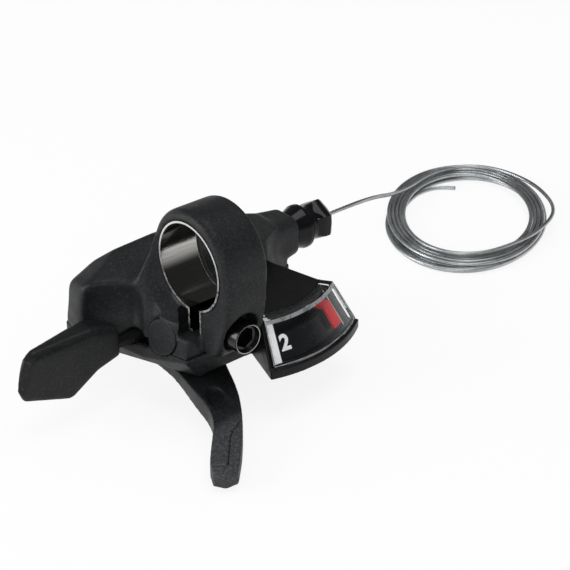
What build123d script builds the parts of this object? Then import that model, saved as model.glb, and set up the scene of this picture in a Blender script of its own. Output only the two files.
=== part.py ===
"""Two-speed trigger gear shifter for a handlebar: clamp, housing, ratchet, levers, indicator and cable."""
import os
from math import acos, atan2, cos, degrees, pi, radians, sin, sqrt, tan

from build123d import *

# The bar runs along X, +X towards the stem; +Y points ahead of the bar and +Z up. Lengths are in millimetres.

# Clearances
running_gap = 0.05
fit_gap = 0.1
clear_gap = 0.4

# Handlebar clamp
bar_radius = 11.1
liner_wall = 0.5
liner_length = 11.2
ring_wall = 2.75
ring_start = -5.75
ring_end = 7.4
lug_end = 6.5
ring_outboard_round = 2.3
ring_inboard_round = 0.7
slit_front = 0.6
slit_back = -4.3
slit_bottom = -17.4
tab_hook = 1.5
tab_reach = 6.6
lug_bottom = -21.3
lug_foot = 5.7
lug_bulge = 14.2
bolt_height = -15.4
bolt_radius = 2.0
bolt_seat = -9.2
bolt_head_radius = 4.0
bolt_head_length = 5.0
bolt_head_round = 0.5
bolt_socket = 5.0
bolt_socket_depth = 3.0
bolt_pocket_gap = 0.7
bolt_pocket_play = 1.6
bolt_pocket_rise = 0.9
nut_width = 6.4
nut_thickness = 3.0
nut_start = 1.0

# Housing above the seam
seam = -22.5
roof_block = -2.9
rear_wall = -4.4
front_wall = 31.5
inboard_wall = 7.0
pod_round = 2.0
pod_round_low = -17.0
pod_round_high = -3.0
pod_round_rear = 16.0
scoop_radius = 9.35
scoop_length = 15.0
scoop_end_round = 4.0
scoop_offset = 7.0
scoop_level = -14.5
plug_radius = 4.6
plug_thickness = 1.6
plug_proud = 0.3
plug_dimple = 0.5
plug_dimple_depth = 0.4
well_top = -13.4
well_wall = 1.2
plate_room_top = -19.4
plate_room_radius = 11.2
plate_room_depth = 14.0
hold_room_width = 5.0

# Lower cover
cover_bottom = -28.5
cover_wall = 1.7
cover_floor = 1.5
screw_radius = 1.25
screw_bite = 4.0
screw_head_radius = 2.4
screw_head_height = 1.6
screw_cross = 0.7
boss_radius = 3.0

# Spindle stack
spindle = (2.0, 14.8)
spindle_radius = 3.0
spindle_thread_radius = 2.4
spindle_thread_length = 4.2
spindle_head_radius = 5.2
spindle_head_height = 2.2
spindle_socket = 5.0
spindle_socket_depth = 1.6
washer_radius = 6.2
washer_thickness = 0.5
winder_top = -13.8
groove_level = -16.0
groove_radius = 7.7
winder_radius = 8.8
winder_bottom = -17.8
spring_radius = 4.7
spring_wire = 0.6
spring_pitch = 0.8
spring_turns = 2.5
spring_room = 1.1
spring_depth = 2.6
gear_bottom = -19.6
plate_thickness = 1.4
level_gap = 0.2
base_thickness = 1.2
nipple_angle = 207.0
nipple_reach = 7.0
nipple_radius = 1.4
nipple_height = 2.6

# Ratchet and pawls
ratchet_root = 9.2
ratchet_tip = 10.4
ratchet_key = 4.8
hold_tooth_angle = 103.0
second_tooth_angle = 59.0
feed_tooth_angle = -34.0
tooth_span = 8.0
hold_pin_angle = 58.0
feed_pin_angle = -70.0
pawl_tip_play = 0.6
pawl_pin_reach = 13.6
pawl_pin_radius = 1.2
pin_shoulder = 0.8
pawl_eye = 2.4
pawl_inner = 11.0
pawl_outer = 13.5
pawl_hook = 9.45
pawl_tip_span = 4.5
drive_radius = 8.0
drive_arm_width = 4.4

# Indicator and its gear pair
needle_pivot = (17.0, 16.9)
needle_pin_radius = 1.5
gear_teeth = 16
pressure_angle = 25.0
gear_backlash = 0.16
gear_addendum = 0.8
gear_dedendum = 1.15
needle_gear_top = -18.2
needle_arm_top = -18.4
needle_arm_bottom = -19.4
needle_angle = -66.5
needle_arm_half_width = 1.6
needle_span = 6.6
needle_depth = 1.9
needle_wall = 0.6
needle_foot = -24.0
fan_start = -107.6
fan_end = -55.0
fan_side_span = 1.7
fan_shoulder = -5.6
fan_rear = 13.4
fan_inboard = 29.3
fan_top = -15.0
fan_bottom = -27.6
fan_base_wall = 1.0
fan_wall = 1.2
fan_tongue = 1.4
fan_tongue_wall = 1.0
window_radius = 36.5
window_run = 6.2
window_strip = 3.1
lens_wall = 1.3
lens_end_span = 2.0
lens_end_depth = 4.2
dial_depth = 3.4
dial_wall = 1.0
dial_top = -20.2
lip_height = 1.6
lip_proud = 0.8
lip_ledge = 2.3

# Cable and adjuster
cable_radius = 0.6
cable_bore = 1.1
cable_wrap = 102.0
nose_start = 31.0
nose_end = 45.2
nose_width = 14.0
nose_height = 13.4
nose_tip = 11.4
nose_round = 2.0
nose_tip_round = 3.6
sleeve_radius = 3.2
sleeve_start = 35.5
collar_start = 45.7
collar_flange = 49.2
collar_end = 53.0
collar_radius = 6.2
neck_radius = 4.8
collar_taper = 1.0
spigot_radius = 2.4
spigot_length = 1.6
knob_end = 58.2
knob_radius = 5.9
knob_flutes = 6
casing_radius = 2.3
casing_depth = 2.4
flute_radius = 3.0
flute_reach = 7.6
coil_center = (122.0, 25.0)
coil_turn = 37.0
coil_outer = (36.0, 26.5)
coil_inner = (26.0, 19.0)
coil_height = 4.0
floor_level = -38.0
lead_bend = 0.45

# Trigger
trigger_hub = 6.5
trigger_root = -18.8
trigger_tip = -48.6
trigger_bevel = 1.6
trigger_bevel_foot = -22.0

# Thumb lever
lever_top = -29.0
lever_hub_bottom = -32.6
lever_hub = 9.5
lever_boss = 6.0
lever_key = 8.2
lever_dimple = (4.6, 2.3)
lever_dimple_place = (-8.4, -13.3)
lever_dimple_depth = 0.7
lever_slope = (-0.45, -0.89, 0.0)

# Outlines, corner by corner
seam_corners = [
    (-10.6, rear_wall), (-13.4, 9.3), (-16.2, 13.4), (-23.5, 23.0), (-21.2, front_wall), (27.0, front_wall),
    (41.5, 27.0), (41.5, 17.0), (29.2, 10.5), (inboard_wall, 10.5), (inboard_wall, rear_wall),
]
roof_corners = [
    (-6.6, rear_wall), (-6.6, 8.0), (-10.5, 13.8), (-21.5, 20.5), (-20.6, 30.0), (25.5, 30.0),
    (36.5, 26.5), (36.5, 18.0), (29.0, 12.5), (inboard_wall, 12.5), (inboard_wall, rear_wall),
]
cover_corners = seam_corners[:9] + [(31.0, rear_wall)]
fan_opening = [
    (inboard_wall, 3.0), (fan_inboard, 3.0), (fan_inboard, fan_rear + 1.0), (inboard_wall, fan_rear + 1.0),
]
inboard_strip = [
    (fan_inboard - fan_wall, 11.0), (fan_inboard, 11.0), (32.4, rear_wall), (32.5, -5.2), (31.3, -5.2),
    (31.2, rear_wall),
]
base_plate_corners = [
    (-16.0, 23.5), (-17.8, 29.0), (27.5, 29.2), (30.0, 25.0), (24.0, 12.0), (14.0, 2.0), (-7.4, -1.0),
    (-8.6, 2.0), (-9.2, 6.0), (-10.5, 12.0),
]
trigger_arm = [
    (2.0, 17.0), (-14.0, 15.0), (trigger_root, 14.0), (-31.0, 14.0), (-31.0, 12.2), (trigger_root, 11.9),
    (-14.0, 11.6), (2.0, 12.4),
]
trigger_slot = [
    (2.0, 17.6), (-14.0, 15.6), (-26.0, 15.2), (-26.0, 6.4), (-17.5, 7.0), (-12.5, 7.9), (2.0, 11.9),
]
trigger_plan = [
    (trigger_root, 11.0), (trigger_root, 14.6), (-24.0, 18.3), (-46.0, 13.5), (trigger_tip, 12.0),
    (trigger_tip, 11.0),
]
trigger_outline = [
    (trigger_root, -24.4), (-25.6, -26.2), (-32.9, -30.6), (-34.4, -30.8), (-46.8, -26.4),
    (trigger_tip, -22.5), (-45.4, -16.0), (-43.0, -14.6), (-26.0, -14.6), (trigger_root, -16.5),
]
lever_left = [(-7.3, 12.6), (-9.0, 0.0), (-11.2, -9.0), (-14.0, -18.5), (-18.5, -24.0), (-24.0, -30.0)]
lever_tip = [(-25.6, -33.0), (-24.0, -35.8)]
lever_right = [(-20.6, -36.2), (-12.5, -28.0), (-6.5, -20.5), (-1.9, -13.0), (3.0, -3.0), (10.0, 9.8)]
lever_side = [
    (-14.0, lever_top), (30.0, lever_top), (42.0, -30.6), (60.0, -33.8), (60.0, -36.9), (47.0, -36.7),
    (31.0, -34.4), (14.0, lever_hub_bottom), (-14.0, lever_hub_bottom),
]
lever_cap_edge = [
    (-6.0, -22.2), (-13.2, -25.2), (-15.4, -27.0), (-21.2, -33.2), (-27.0, -29.6), (-30.0, -41.0),
    (0.0, -41.0),
]
lead_route = [
    (knob_end, 22.5, -16.0), (69.5, 23.2, -16.4), (80.0, 26.0, -18.6), (89.5, 31.0, -22.6),
    (99.0, 37.0, -27.4), (107.5, 42.4, -31.4), (115.0, 45.4, -35.0),
]
screws = [(-15.0, 26.5), (26.0, 26.0), (-6.0, 2.0)]
lip_inner = (-11.5, 14.4)
lip_outer = (-21.3, 20.9)
lip_level = -8.0
web_foot = -8.0
web_top = 5.1
web_foot_corners = [(-11.9, 13.9), (-8.3, 8.2), (0.0, 8.2), (0.0, 15.5), (-9.5, 16.0)]
web_top_corners = [(ring_start, 12.3), (ring_start, 11.0), (0.0, 11.0), (0.0, 12.0), (-5.0, 12.4)]
plug_plane = Plane((-11.4, 4.0, -19.0), x_dir=(-0.17, 0.98, 0), z_dir=(-0.95, -0.17, 0.22))
facet_plane = Plane((-10.6, rear_wall, -23.3), z_dir=(-111.3, -41.1, -83.2))
roof_planes = [
    Plane((*lip_outer, lip_level), z_dir=(-0.151, -0.228, 1.0)),
    Plane((-12.7, 28.0, -6.9), z_dir=(-0.386, 0.304, 1.0)),
    Plane((3.0, 25.0, -3.4), z_dir=(0.165, -0.10, 1.0)),
    Plane((0.0, 26.5, -4.0), z_dir=(0.0, 1.05, 1.0)),
]

# Values worked out from the sizes above
liner_outer = bar_radius + liner_wall
bore = liner_outer + running_gap
ring_outer = bore + ring_wall
nut_notch = nut_width + 2 * fit_gap
cable_y = spindle[1] + groove_radius
well_radius = winder_radius + clear_gap
gear_distance = sqrt((needle_pivot[0] - spindle[0]) ** 2 + (needle_pivot[1] - spindle[1]) ** 2)
gear_direction = degrees(atan2(needle_pivot[1] - spindle[1], needle_pivot[0] - spindle[0]))
gear_pitch_radius = gear_distance / 2
gear_module = gear_distance / gear_teeth
gear_step = 360.0 / gear_teeth
ratchet_top = gear_bottom - level_gap
ratchet_bottom = ratchet_top - plate_thickness
trigger_plate_top = ratchet_bottom - level_gap
trigger_plate_bottom = trigger_plate_top - plate_thickness
drive_top = trigger_plate_bottom - level_gap
drive_bottom = drive_top - plate_thickness
base_top = drive_bottom - level_gap
base_bottom = base_top - base_thickness
washer_top = lever_hub_bottom - running_gap
washer_bottom = washer_top - washer_thickness
spindle_bore = spindle_radius + running_gap
boss_hole = lever_boss + clear_gap
screw_top = base_top + screw_bite
hold_tip_angle = hold_tooth_angle - pawl_tip_play
feed_tip_angle = feed_tooth_angle - pawl_tip_play
fan_floor = fan_bottom + fan_base_wall
fan_side_angle = fan_start - fan_side_span
fan_side_inner = (needle_pivot[1] - rear_wall) / sin(radians(-fan_side_angle))
fan_end_inner = (needle_pivot[1] - rear_wall) / sin(radians(-fan_end))
fan_shoulder_reach = (needle_pivot[1] - fan_shoulder) / sin(radians(-fan_side_angle))
lens_foot = fan_floor + lip_height
lens_under = fan_top - lens_wall
lens_top_radius = window_radius - window_run
lens_inner = lens_top_radius - window_strip
lens_lean = window_run / (fan_top - lens_foot)
lens_slope = sqrt(1 + lens_lean * lens_lean)
lens_end_foot = fan_top - (lens_end_depth * lens_slope - window_strip) / lens_lean
base_lip_radius = window_radius + lip_proud
base_lip_inner = window_radius - lip_ledge
cable_axis = Axis((0, cable_y, groove_level), (1, 0, 0))
beyond = 200.0

os.makedirs("parts", exist_ok=True)


def polar(center, radius, angle):
    """Point at a radius and an angle in degrees about a centre."""
    return (center[0] + radius * cos(radians(angle)), center[1] + radius * sin(radians(angle)))


def level(z):
    """Horizontal plane at a height."""
    return Plane.XY.offset(z)


def over(point, z):
    """Horizontal plane at a height, centred on a point."""
    return Plane((point[0], point[1], z))


def across_bar(x, y=0.0, z=0.0):
    """Plane square to the bar, with Y to the right and Z up."""
    return Plane((x, y, z), x_dir=(0, 1, 0), z_dir=(1, 0, 0))


def across_bolt(y):
    """Plane square to the clamp bolt, facing the rider and centred on the bolt."""
    return Plane((0, y, bolt_height), x_dir=(1, 0, 0), z_dir=(0, -1, 0))


def drive_frame(z):
    """Horizontal plane on the spindle, turned towards the feed pawl's pin."""
    return over(spindle, z).rotated((0, 0, feed_pin_angle))


def along_cable():
    """Level plane through the cable's straight run: X along it, Y across it."""
    return Plane((0, cable_y, groove_level))


def fan_plane(angle):
    """Upright plane through the needle pivot: radius to the right, height up."""
    turn = radians(angle)
    return Plane((*needle_pivot, 0), x_dir=(cos(turn), sin(turn), 0), z_dir=(sin(turn), -cos(turn), 0))


def lens_face(depth, z):
    """Radius of the window's slope at a height, a depth behind its outer face."""
    return lens_top_radius + lens_lean * (fan_top - z) - depth * lens_slope


def fan_sector(outline, start, end):
    """Solid swept about the needle pivot between two angles, from an outline of radius and height."""
    with BuildPart() as sector:
        with BuildSketch(fan_plane(start)):
            Polygon(*outline, align=None)
        revolve(axis=Axis((*needle_pivot, 0), (0, 0, 1)), revolution_arc=end - start)
    return sector.part


def tooth_outline():
    """Involute tooth centred on the X axis, from the root circle to the tip."""
    base_radius = gear_pitch_radius * cos(radians(pressure_angle))
    tip = gear_pitch_radius + gear_addendum * gear_module
    half_angle = pi / (2 * gear_teeth) - gear_backlash / (2 * gear_pitch_radius)
    pitch_involute = tan(radians(pressure_angle)) - radians(pressure_angle)
    steps = 4
    flank = []
    for step in range(steps):
        radius = base_radius + (tip - base_radius) * step / (steps - 1)
        roll = acos(min(1.0, base_radius / radius))
        flank.append((radius, half_angle + pitch_involute - tan(roll) + roll))
    flank.insert(0, (gear_pitch_radius - (gear_dedendum + fit_gap) * gear_module, flank[0][1]))
    right = [(radius * cos(turn), -radius * sin(turn)) for radius, turn in flank]
    left = [(radius * cos(turn), radius * sin(turn)) for radius, turn in reversed(flank)]
    return right + left


def gear_sketch(first_tooth):
    """Gear of the indicator drive with one tooth at an angle."""
    with BuildSketch() as gear:
        Circle(gear_pitch_radius - gear_dedendum * gear_module)
        with PolarLocations(0, gear_teeth, start_angle=first_tooth):
            Polygon(*tooth_outline(), align=None)
    return gear.sketch


def ratchet_tooth(angle):
    """Ratchet tooth about the spindle with its steep face at an angle and a sloping back."""
    root = ratchet_root - clear_gap
    return [
        polar((0, 0), root, angle), polar((0, 0), ratchet_tip, angle),
        polar((0, 0), ratchet_tip, angle + tooth_span / 2), polar((0, 0), root, angle + tooth_span),
    ]


def pawl_sketch(pin_angle, tip_angle):
    """Pawl curving round the spindle from the eye on its pin to a hooked tip."""
    heel = tip_angle - pawl_tip_span
    with BuildSketch() as pawl:
        with BuildLine():
            CenterArc(spindle, pawl_outer, pin_angle, tip_angle - pin_angle)
            Polyline(
                polar(spindle, pawl_outer, tip_angle), polar(spindle, pawl_hook, tip_angle),
                polar(spindle, pawl_hook, heel), polar(spindle, pawl_inner, heel),
            )
            CenterArc(spindle, pawl_inner, pin_angle, heel - pin_angle)
            Line(polar(spindle, pawl_inner, pin_angle), polar(spindle, pawl_outer, pin_angle))
        make_face()
        with Locations(polar(spindle, pawl_pin_reach, pin_angle)):
            Circle(pawl_eye)
            Circle(pawl_pin_radius + running_gap, mode=Mode.SUBTRACT)
    return pawl.sketch


def cover_block(inset, bottom):
    """Block of the lower cover with its sloping outboard facet, drawn in by an inset."""
    with BuildPart() as block:
        with BuildSketch(level(bottom)):
            Polygon(*cover_corners, align=None)
            if inset > 0:
                offset(amount=-inset, kind=Kind.INTERSECTION)
        extrude(amount=seam - bottom)
        split(bisect_by=facet_plane.offset(-inset), keep=Keep.BOTTOM)
    return block.part


def bend_radii(points):
    """Radius of the bend at each inner point of a cable route."""
    radii = []
    for before, here, after in zip(points, points[1:], points[2:]):
        run_in = Vector(*here) - Vector(*before)
        run_out = Vector(*after) - Vector(*here)
        shorter = min(run_in.length, run_out.length)
        radii.append(lead_bend * shorter / tan(radians(run_in.get_angle(run_out)) / 2))
    return radii


def save(piece, name):
    """Label a finished piece and write it."""
    piece.part.label = name
    export_step(piece.part, f"parts/{name}.step")


hold_pin = polar(spindle, pawl_pin_reach, hold_pin_angle)
feed_pin = polar(spindle, pawl_pin_reach, feed_pin_angle)
needle_reach = lens_face(needle_depth + needle_wall / 2, needle_arm_top) - needle_pin_radius

# Outlines of the indicator's top and floor: its two end rays run out past the window's foot
fan_shoulder_corner = polar(needle_pivot, fan_shoulder_reach, fan_side_angle)
fan_rays = [polar(needle_pivot, 2 * window_radius, angle) for angle in (fan_side_angle, fan_end)]
top_left = inboard_wall + fit_gap + running_gap
fan_top_corners = [
    (top_left, fan_rear), (top_left, fan_shoulder), fan_shoulder_corner, *fan_rays,
    (32.4, rear_wall), (fan_inboard, 11.0), (fan_inboard, fan_rear),
]
floor_left = inboard_wall + fit_gap
fan_return = [
    (floor_left, rear_wall), (floor_left, fan_shoulder), (9.9, fan_shoulder), (9.9, rear_wall),
]
fan_floor_corners = [
    (floor_left, rear_wall), (floor_left, fan_shoulder), fan_shoulder_corner, *fan_rays,
    polar(needle_pivot, fan_end_inner, fan_end),
]

# Bolt lug, then the clamp ring with it, before the housing joins them
with BuildPart() as clamp_lug:
    with BuildSketch(across_bar(ring_start)):
        with BuildLine():
            Line((0, 0), (-ring_outer, 0))
            ThreePointArc((-ring_outer, 0), (-lug_bulge, lug_bottom / 2), (slit_back - lug_foot, lug_bottom))
            Line((slit_back - lug_foot, lug_bottom), (slit_back, lug_bottom))
            Line((slit_back, lug_bottom), (0, 0))
        make_face()
    extrude(amount=lug_end - ring_start)
    lug_face = clamp_lug.faces().sort_by(Axis.X)[0]
    fillet(lug_face.edges().filter_by(GeomType.CIRCLE), ring_outboard_round)

with BuildPart() as clamp_ring:
    with BuildSketch(across_bar(ring_start)):
        Circle(ring_outer)
    extrude(amount=ring_end - ring_start)
    fillet(clamp_ring.faces().sort_by(Axis.X)[-1].edges(), ring_inboard_round)
    fillet(clamp_ring.faces().sort_by(Axis.X)[0].edges(), ring_outboard_round)
    add(clamp_lug.part)

# Shape that scoops the finger recess out of the pod's outboard side
scoop_run = Vector(lip_outer[0] - lip_inner[0], lip_outer[1] - lip_inner[1], 0).normalized()
scoop_out = Vector(-scoop_run.Y, scoop_run.X, 0)
scoop_middle = Vector((lip_inner[0] + lip_outer[0]) / 2, (lip_inner[1] + lip_outer[1]) / 2, scoop_level)
scoop_start = scoop_middle + scoop_out * scoop_offset - scoop_run * (scoop_length / 2)
with BuildPart() as scoop:
    with BuildSketch(Plane(scoop_start, z_dir=scoop_run)):
        Circle(scoop_radius)
    extrude(amount=scoop_length)
    fillet(scoop.edges().filter_by(GeomType.CIRCLE), scoop_end_round)

# Path of the room round the hold pawl, about the spindle
hold_path = CenterArc((0, 0), pawl_pin_reach - clear_gap, hold_pin_angle, hold_tip_angle - hold_pin_angle)

with BuildPart() as bracket:
    with BuildSketch(level(seam)):
        Polygon(*seam_corners, align=None)
    with BuildSketch(level(roof_block)):
        Polygon(*roof_corners, align=None)
    loft(ruled=True)
    for roof_plane in roof_planes:
        split(bisect_by=roof_plane, keep=Keep.BOTTOM)
    pod_edges = bracket.edges().filter_by_position(Axis.Z, pod_round_low, pod_round_high)
    fillet(pod_edges.filter_by_position(Axis.Y, pod_round_rear, front_wall), pod_round)
    with BuildSketch(over(spindle, seam)):
        Circle(well_radius + well_wall)
    extrude(amount=well_top + well_wall - seam)
    with BuildSketch(across_bar(nose_start, cable_y, groove_level)):
        RectangleRounded(nose_width, nose_height, nose_round)
    with BuildSketch(across_bar(nose_end, cable_y, groove_level)):
        RectangleRounded(nose_tip, nose_tip, nose_tip_round)
    loft()
    with BuildSketch(level(web_foot)):
        Polygon(*web_foot_corners, align=None)
    with BuildSketch(level(web_top)):
        Polygon(*web_top_corners, align=None)
    loft(ruled=True)
    add(scoop.part, mode=Mode.SUBTRACT)
    add(clamp_ring.part)
    # Bar bore, slit, bolt passage and nut notch
    with BuildSketch(across_bar(0)):
        Circle(bore)
    extrude(amount=beyond, both=True, mode=Mode.SUBTRACT)
    with BuildSketch(across_bar(-beyond)):
        with Locations((slit_back, slit_bottom)):
            Rectangle(slit_front - slit_back, -slit_bottom, align=(Align.MIN, Align.MIN))
    extrude(amount=2 * beyond, mode=Mode.SUBTRACT)
    with BuildSketch(across_bolt(bolt_seat)):
        with Locations((0, bolt_pocket_rise)):
            SlotCenterToCenter(bolt_pocket_play, 2 * (bolt_head_radius + bolt_pocket_gap), rotation=90)
    extrude(amount=beyond, mode=Mode.SUBTRACT)
    with BuildSketch(across_bolt(nut_start + nut_thickness)):
        Circle(bolt_radius + fit_gap)
    extrude(amount=beyond, mode=Mode.SUBTRACT)
    with BuildSketch(across_bolt(nut_start + nut_thickness)):
        with Locations((nut_width / 2 + fit_gap, 0)):
            Rectangle(beyond, nut_notch, align=(Align.MAX, Align.CENTER))
    extrude(amount=nut_thickness, mode=Mode.SUBTRACT)
    with BuildSketch(across_bar(ring_start, slit_front, bolt_height)):
        Rectangle(nut_start + nut_thickness - slit_front, nut_notch, align=(Align.MIN, Align.CENTER))
    extrude(amount=-beyond, mode=Mode.SUBTRACT)
    # Rooms for the winder, the pawls and plates, the needle and the cable
    with BuildSketch(over(spindle, seam)):
        Circle(well_radius)
    extrude(amount=well_top - seam, mode=Mode.SUBTRACT)
    with BuildSketch(level(seam)):
        with Locations(spindle):
            Circle(plate_room_radius)
            SlotArc(hold_path, hold_room_width)
        with Locations(hold_pin):
            Circle(pawl_eye + clear_gap)
        with Locations((spindle[0], rear_wall + cover_wall)):
            Rectangle(beyond, plate_room_depth, align=(Align.MIN, Align.MIN))
    extrude(amount=plate_room_top - seam, mode=Mode.SUBTRACT)
    with BuildSketch(over(needle_pivot, seam)):
        Circle(gear_pitch_radius + gear_module + clear_gap)
    extrude(amount=winder_bottom + level_gap - seam, mode=Mode.SUBTRACT)
    with BuildSketch(level(seam)):
        Polygon(*fan_opening, align=None)
        with Locations(spindle):
            Circle(well_radius + well_wall, mode=Mode.SUBTRACT)
    extrude(amount=fan_top - seam, mode=Mode.SUBTRACT)
    with BuildSketch(level(seam)):
        Polygon(*trigger_slot, align=None)
    extrude(amount=trigger_plate_top + clear_gap - seam, mode=Mode.SUBTRACT)
    with BuildSketch(across_bar(spindle[0], cable_y, groove_level)):
        Circle(cable_bore)
    extrude(amount=beyond, mode=Mode.SUBTRACT)
    with BuildSketch(across_bar(nose_end, cable_y, groove_level)):
        Circle(sleeve_radius + running_gap)
    extrude(amount=sleeve_start - nose_end - clear_gap, mode=Mode.SUBTRACT)
    with BuildSketch(over(spindle, well_top)):
        Circle(spindle_thread_radius + running_gap)
    extrude(amount=spindle_thread_length, mode=Mode.SUBTRACT)
    # Seat of the round plug, and bosses for the cover screws
    with BuildSketch(plug_plane.offset(plug_proud - plug_thickness)):
        Circle(plug_radius + fit_gap)
    extrude(amount=beyond, mode=Mode.SUBTRACT)
    with BuildSketch(level(base_top)):
        with Locations(*screws):
            Circle(boss_radius)
    extrude(amount=seam - base_top + clear_gap)
    with BuildSketch(level(base_top)):
        with Locations(*screws):
            Circle(screw_radius + running_gap)
    extrude(amount=screw_bite, mode=Mode.SUBTRACT)
save(bracket, "bracket")

# Liner of the clamp: a spring-steel band with two tabs down the slit
with BuildPart() as clamp_liner:
    with BuildSketch(across_bar(-liner_length / 2)):
        Circle(liner_outer)
        Circle(bar_radius, mode=Mode.SUBTRACT)
        with Locations((slit_back + liner_wall, 0)):
            Rectangle(
                slit_front - slit_back - 2 * liner_wall, beyond,
                align=(Align.MIN, Align.MAX), mode=Mode.SUBTRACT,
            )
        with Locations((slit_back, slit_bottom)):
            Rectangle(liner_wall, tab_reach, align=(Align.MIN, Align.MIN))
        with Locations((slit_front, slit_bottom)):
            Rectangle(liner_wall, tab_reach, align=(Align.MAX, Align.MIN))
            Rectangle(tab_hook, liner_wall, align=(Align.MAX, Align.MIN))
        Circle(bar_radius, mode=Mode.SUBTRACT)
    extrude(amount=liner_length)
    with BuildSketch(across_bolt(beyond)):
        Circle(bolt_radius + clear_gap)
    extrude(amount=2 * beyond, mode=Mode.SUBTRACT)
save(clamp_liner, "clamp_liner")

with BuildPart() as clamp_bolt:
    with BuildSketch(across_bolt(nut_start + nut_thickness)):
        Circle(bolt_radius)
    extrude(amount=nut_start + nut_thickness - bolt_seat)
    with BuildSketch(across_bolt(bolt_seat)):
        Circle(bolt_head_radius)
    extrude(amount=bolt_head_length)
    fillet(clamp_bolt.faces().sort_by(Axis.Y)[0].edges(), bolt_head_round)
    with BuildSketch(across_bolt(bolt_seat - bolt_head_length)):
        RegularPolygon(bolt_socket / 2, 6, major_radius=False)
    extrude(amount=-bolt_socket_depth, mode=Mode.SUBTRACT)
save(clamp_bolt, "clamp_bolt")

with BuildPart() as clamp_nut:
    with BuildSketch(across_bolt(nut_start + nut_thickness)):
        Rectangle(nut_width, nut_width)
        Circle(bolt_radius + running_gap, mode=Mode.SUBTRACT)
    extrude(amount=nut_thickness)
save(clamp_nut, "clamp_nut")

with BuildPart() as cable_port_plug:
    with BuildSketch(plug_plane.offset(plug_proud - plug_thickness)):
        Circle(plug_radius)
    extrude(amount=plug_thickness)
    fillet(cable_port_plug.faces().sort_by(Axis.X)[0].edges(), plug_proud)
    with BuildSketch(plug_plane.offset(plug_proud)):
        Circle(plug_dimple)
    extrude(amount=-plug_dimple_depth, mode=Mode.SUBTRACT)
save(cable_port_plug, "cable_port_plug")

with BuildPart() as lower_cover:
    add(cover_block(0, cover_bottom))
    add(cover_block(cover_wall, cover_bottom + cover_floor), mode=Mode.SUBTRACT)
    with BuildSketch(level(cover_bottom)):
        with Locations(*screws):
            Circle(boss_radius)
    extrude(amount=base_bottom - cover_bottom)
    with BuildSketch(level(cover_bottom)):
        with Locations(*screws):
            Circle(screw_radius + fit_gap)
        with Locations(spindle):
            Circle(boss_hole)
    extrude(amount=base_bottom - cover_bottom, mode=Mode.SUBTRACT)
    with BuildSketch(level(cover_bottom)):
        with Locations(*screws):
            Circle(screw_head_radius + fit_gap)
    extrude(amount=screw_head_height, mode=Mode.SUBTRACT)
    with BuildSketch(level(trigger_plate_bottom - clear_gap)):
        Polygon(*trigger_slot, align=None)
    extrude(amount=beyond, mode=Mode.SUBTRACT)
    with BuildSketch(plug_plane.offset(plug_proud - plug_thickness)):
        Circle(plug_radius + fit_gap)
    extrude(amount=beyond, mode=Mode.SUBTRACT)
save(lower_cover, "lower_cover")

with BuildPart() as cover_screws:
    with BuildSketch(level(cover_bottom)):
        with Locations(*screws):
            Circle(screw_head_radius)
    extrude(amount=screw_head_height)
    with BuildSketch(level(cover_bottom)):
        with Locations(*screws):
            Circle(screw_radius)
    extrude(amount=screw_top - cover_bottom)
    with BuildSketch(level(cover_bottom)):
        with Locations(*screws):
            Rectangle(2 * screw_head_radius, screw_cross)
    extrude(amount=screw_cross, mode=Mode.SUBTRACT)
save(cover_screws, "cover_screws")

with BuildPart() as base_plate:
    with BuildSketch(level(base_bottom)):
        Polygon(*base_plate_corners, align=None)
        with Locations(*screws):
            Circle(screw_radius + fit_gap, mode=Mode.SUBTRACT)
        with Locations(spindle):
            Circle(boss_hole, mode=Mode.SUBTRACT)
        with Locations(hold_pin):
            Circle(pawl_pin_radius, mode=Mode.SUBTRACT)
        with Locations(needle_pivot):
            Circle(needle_pin_radius, mode=Mode.SUBTRACT)
    extrude(amount=base_thickness)
save(base_plate, "base_plate")

# Spindle bolt from below, its washer, and the pins of the pawls and the needle
with BuildPart() as spindle_bolt:
    with BuildSketch(over(spindle, washer_bottom)):
        Circle(spindle_head_radius)
    extrude(amount=-spindle_head_height)
    fillet(spindle_bolt.faces().sort_by(Axis.Z)[0].edges(), bolt_head_round)
    with BuildSketch(over(spindle, washer_bottom)):
        Circle(spindle_radius)
    extrude(amount=well_top - washer_bottom)
    with BuildSketch(over(spindle, well_top)):
        Circle(spindle_thread_radius)
    extrude(amount=spindle_thread_length)
    with BuildSketch(over(spindle, washer_bottom - spindle_head_height)):
        RegularPolygon(spindle_socket / 2, 6, major_radius=False)
    extrude(amount=spindle_socket_depth, mode=Mode.SUBTRACT)
save(spindle_bolt, "spindle_bolt")

with BuildPart() as spindle_washer:
    with BuildSketch(over(spindle, washer_bottom)):
        Circle(washer_radius)
        Circle(spindle_bore, mode=Mode.SUBTRACT)
    extrude(amount=washer_thickness)
save(spindle_washer, "spindle_washer")

pins = {
    "hold_pawl_pin": (hold_pin, base_bottom, base_top, ratchet_bottom, ratchet_top, pawl_pin_radius),
    "feed_pawl_pin": (feed_pin, drive_bottom, drive_top, ratchet_bottom, ratchet_top, pawl_pin_radius),
    "needle_pin": (needle_pivot, base_bottom, base_top, gear_bottom, needle_gear_top, needle_pin_radius),
}
for name, (place, foot, seat, rest, top, radius) in pins.items():
    with BuildPart() as pin:
        with BuildSketch(over(place, foot)):
            Circle(radius - running_gap)
        extrude(amount=seat - foot)
        with BuildSketch(over(place, seat)):
            Circle(radius + pin_shoulder)
        extrude(amount=rest - running_gap - seat)
        with BuildSketch(over(place, rest - running_gap)):
            Circle(radius)
        extrude(amount=top + fit_gap + running_gap - rest)
    save(pin, name)

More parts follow.
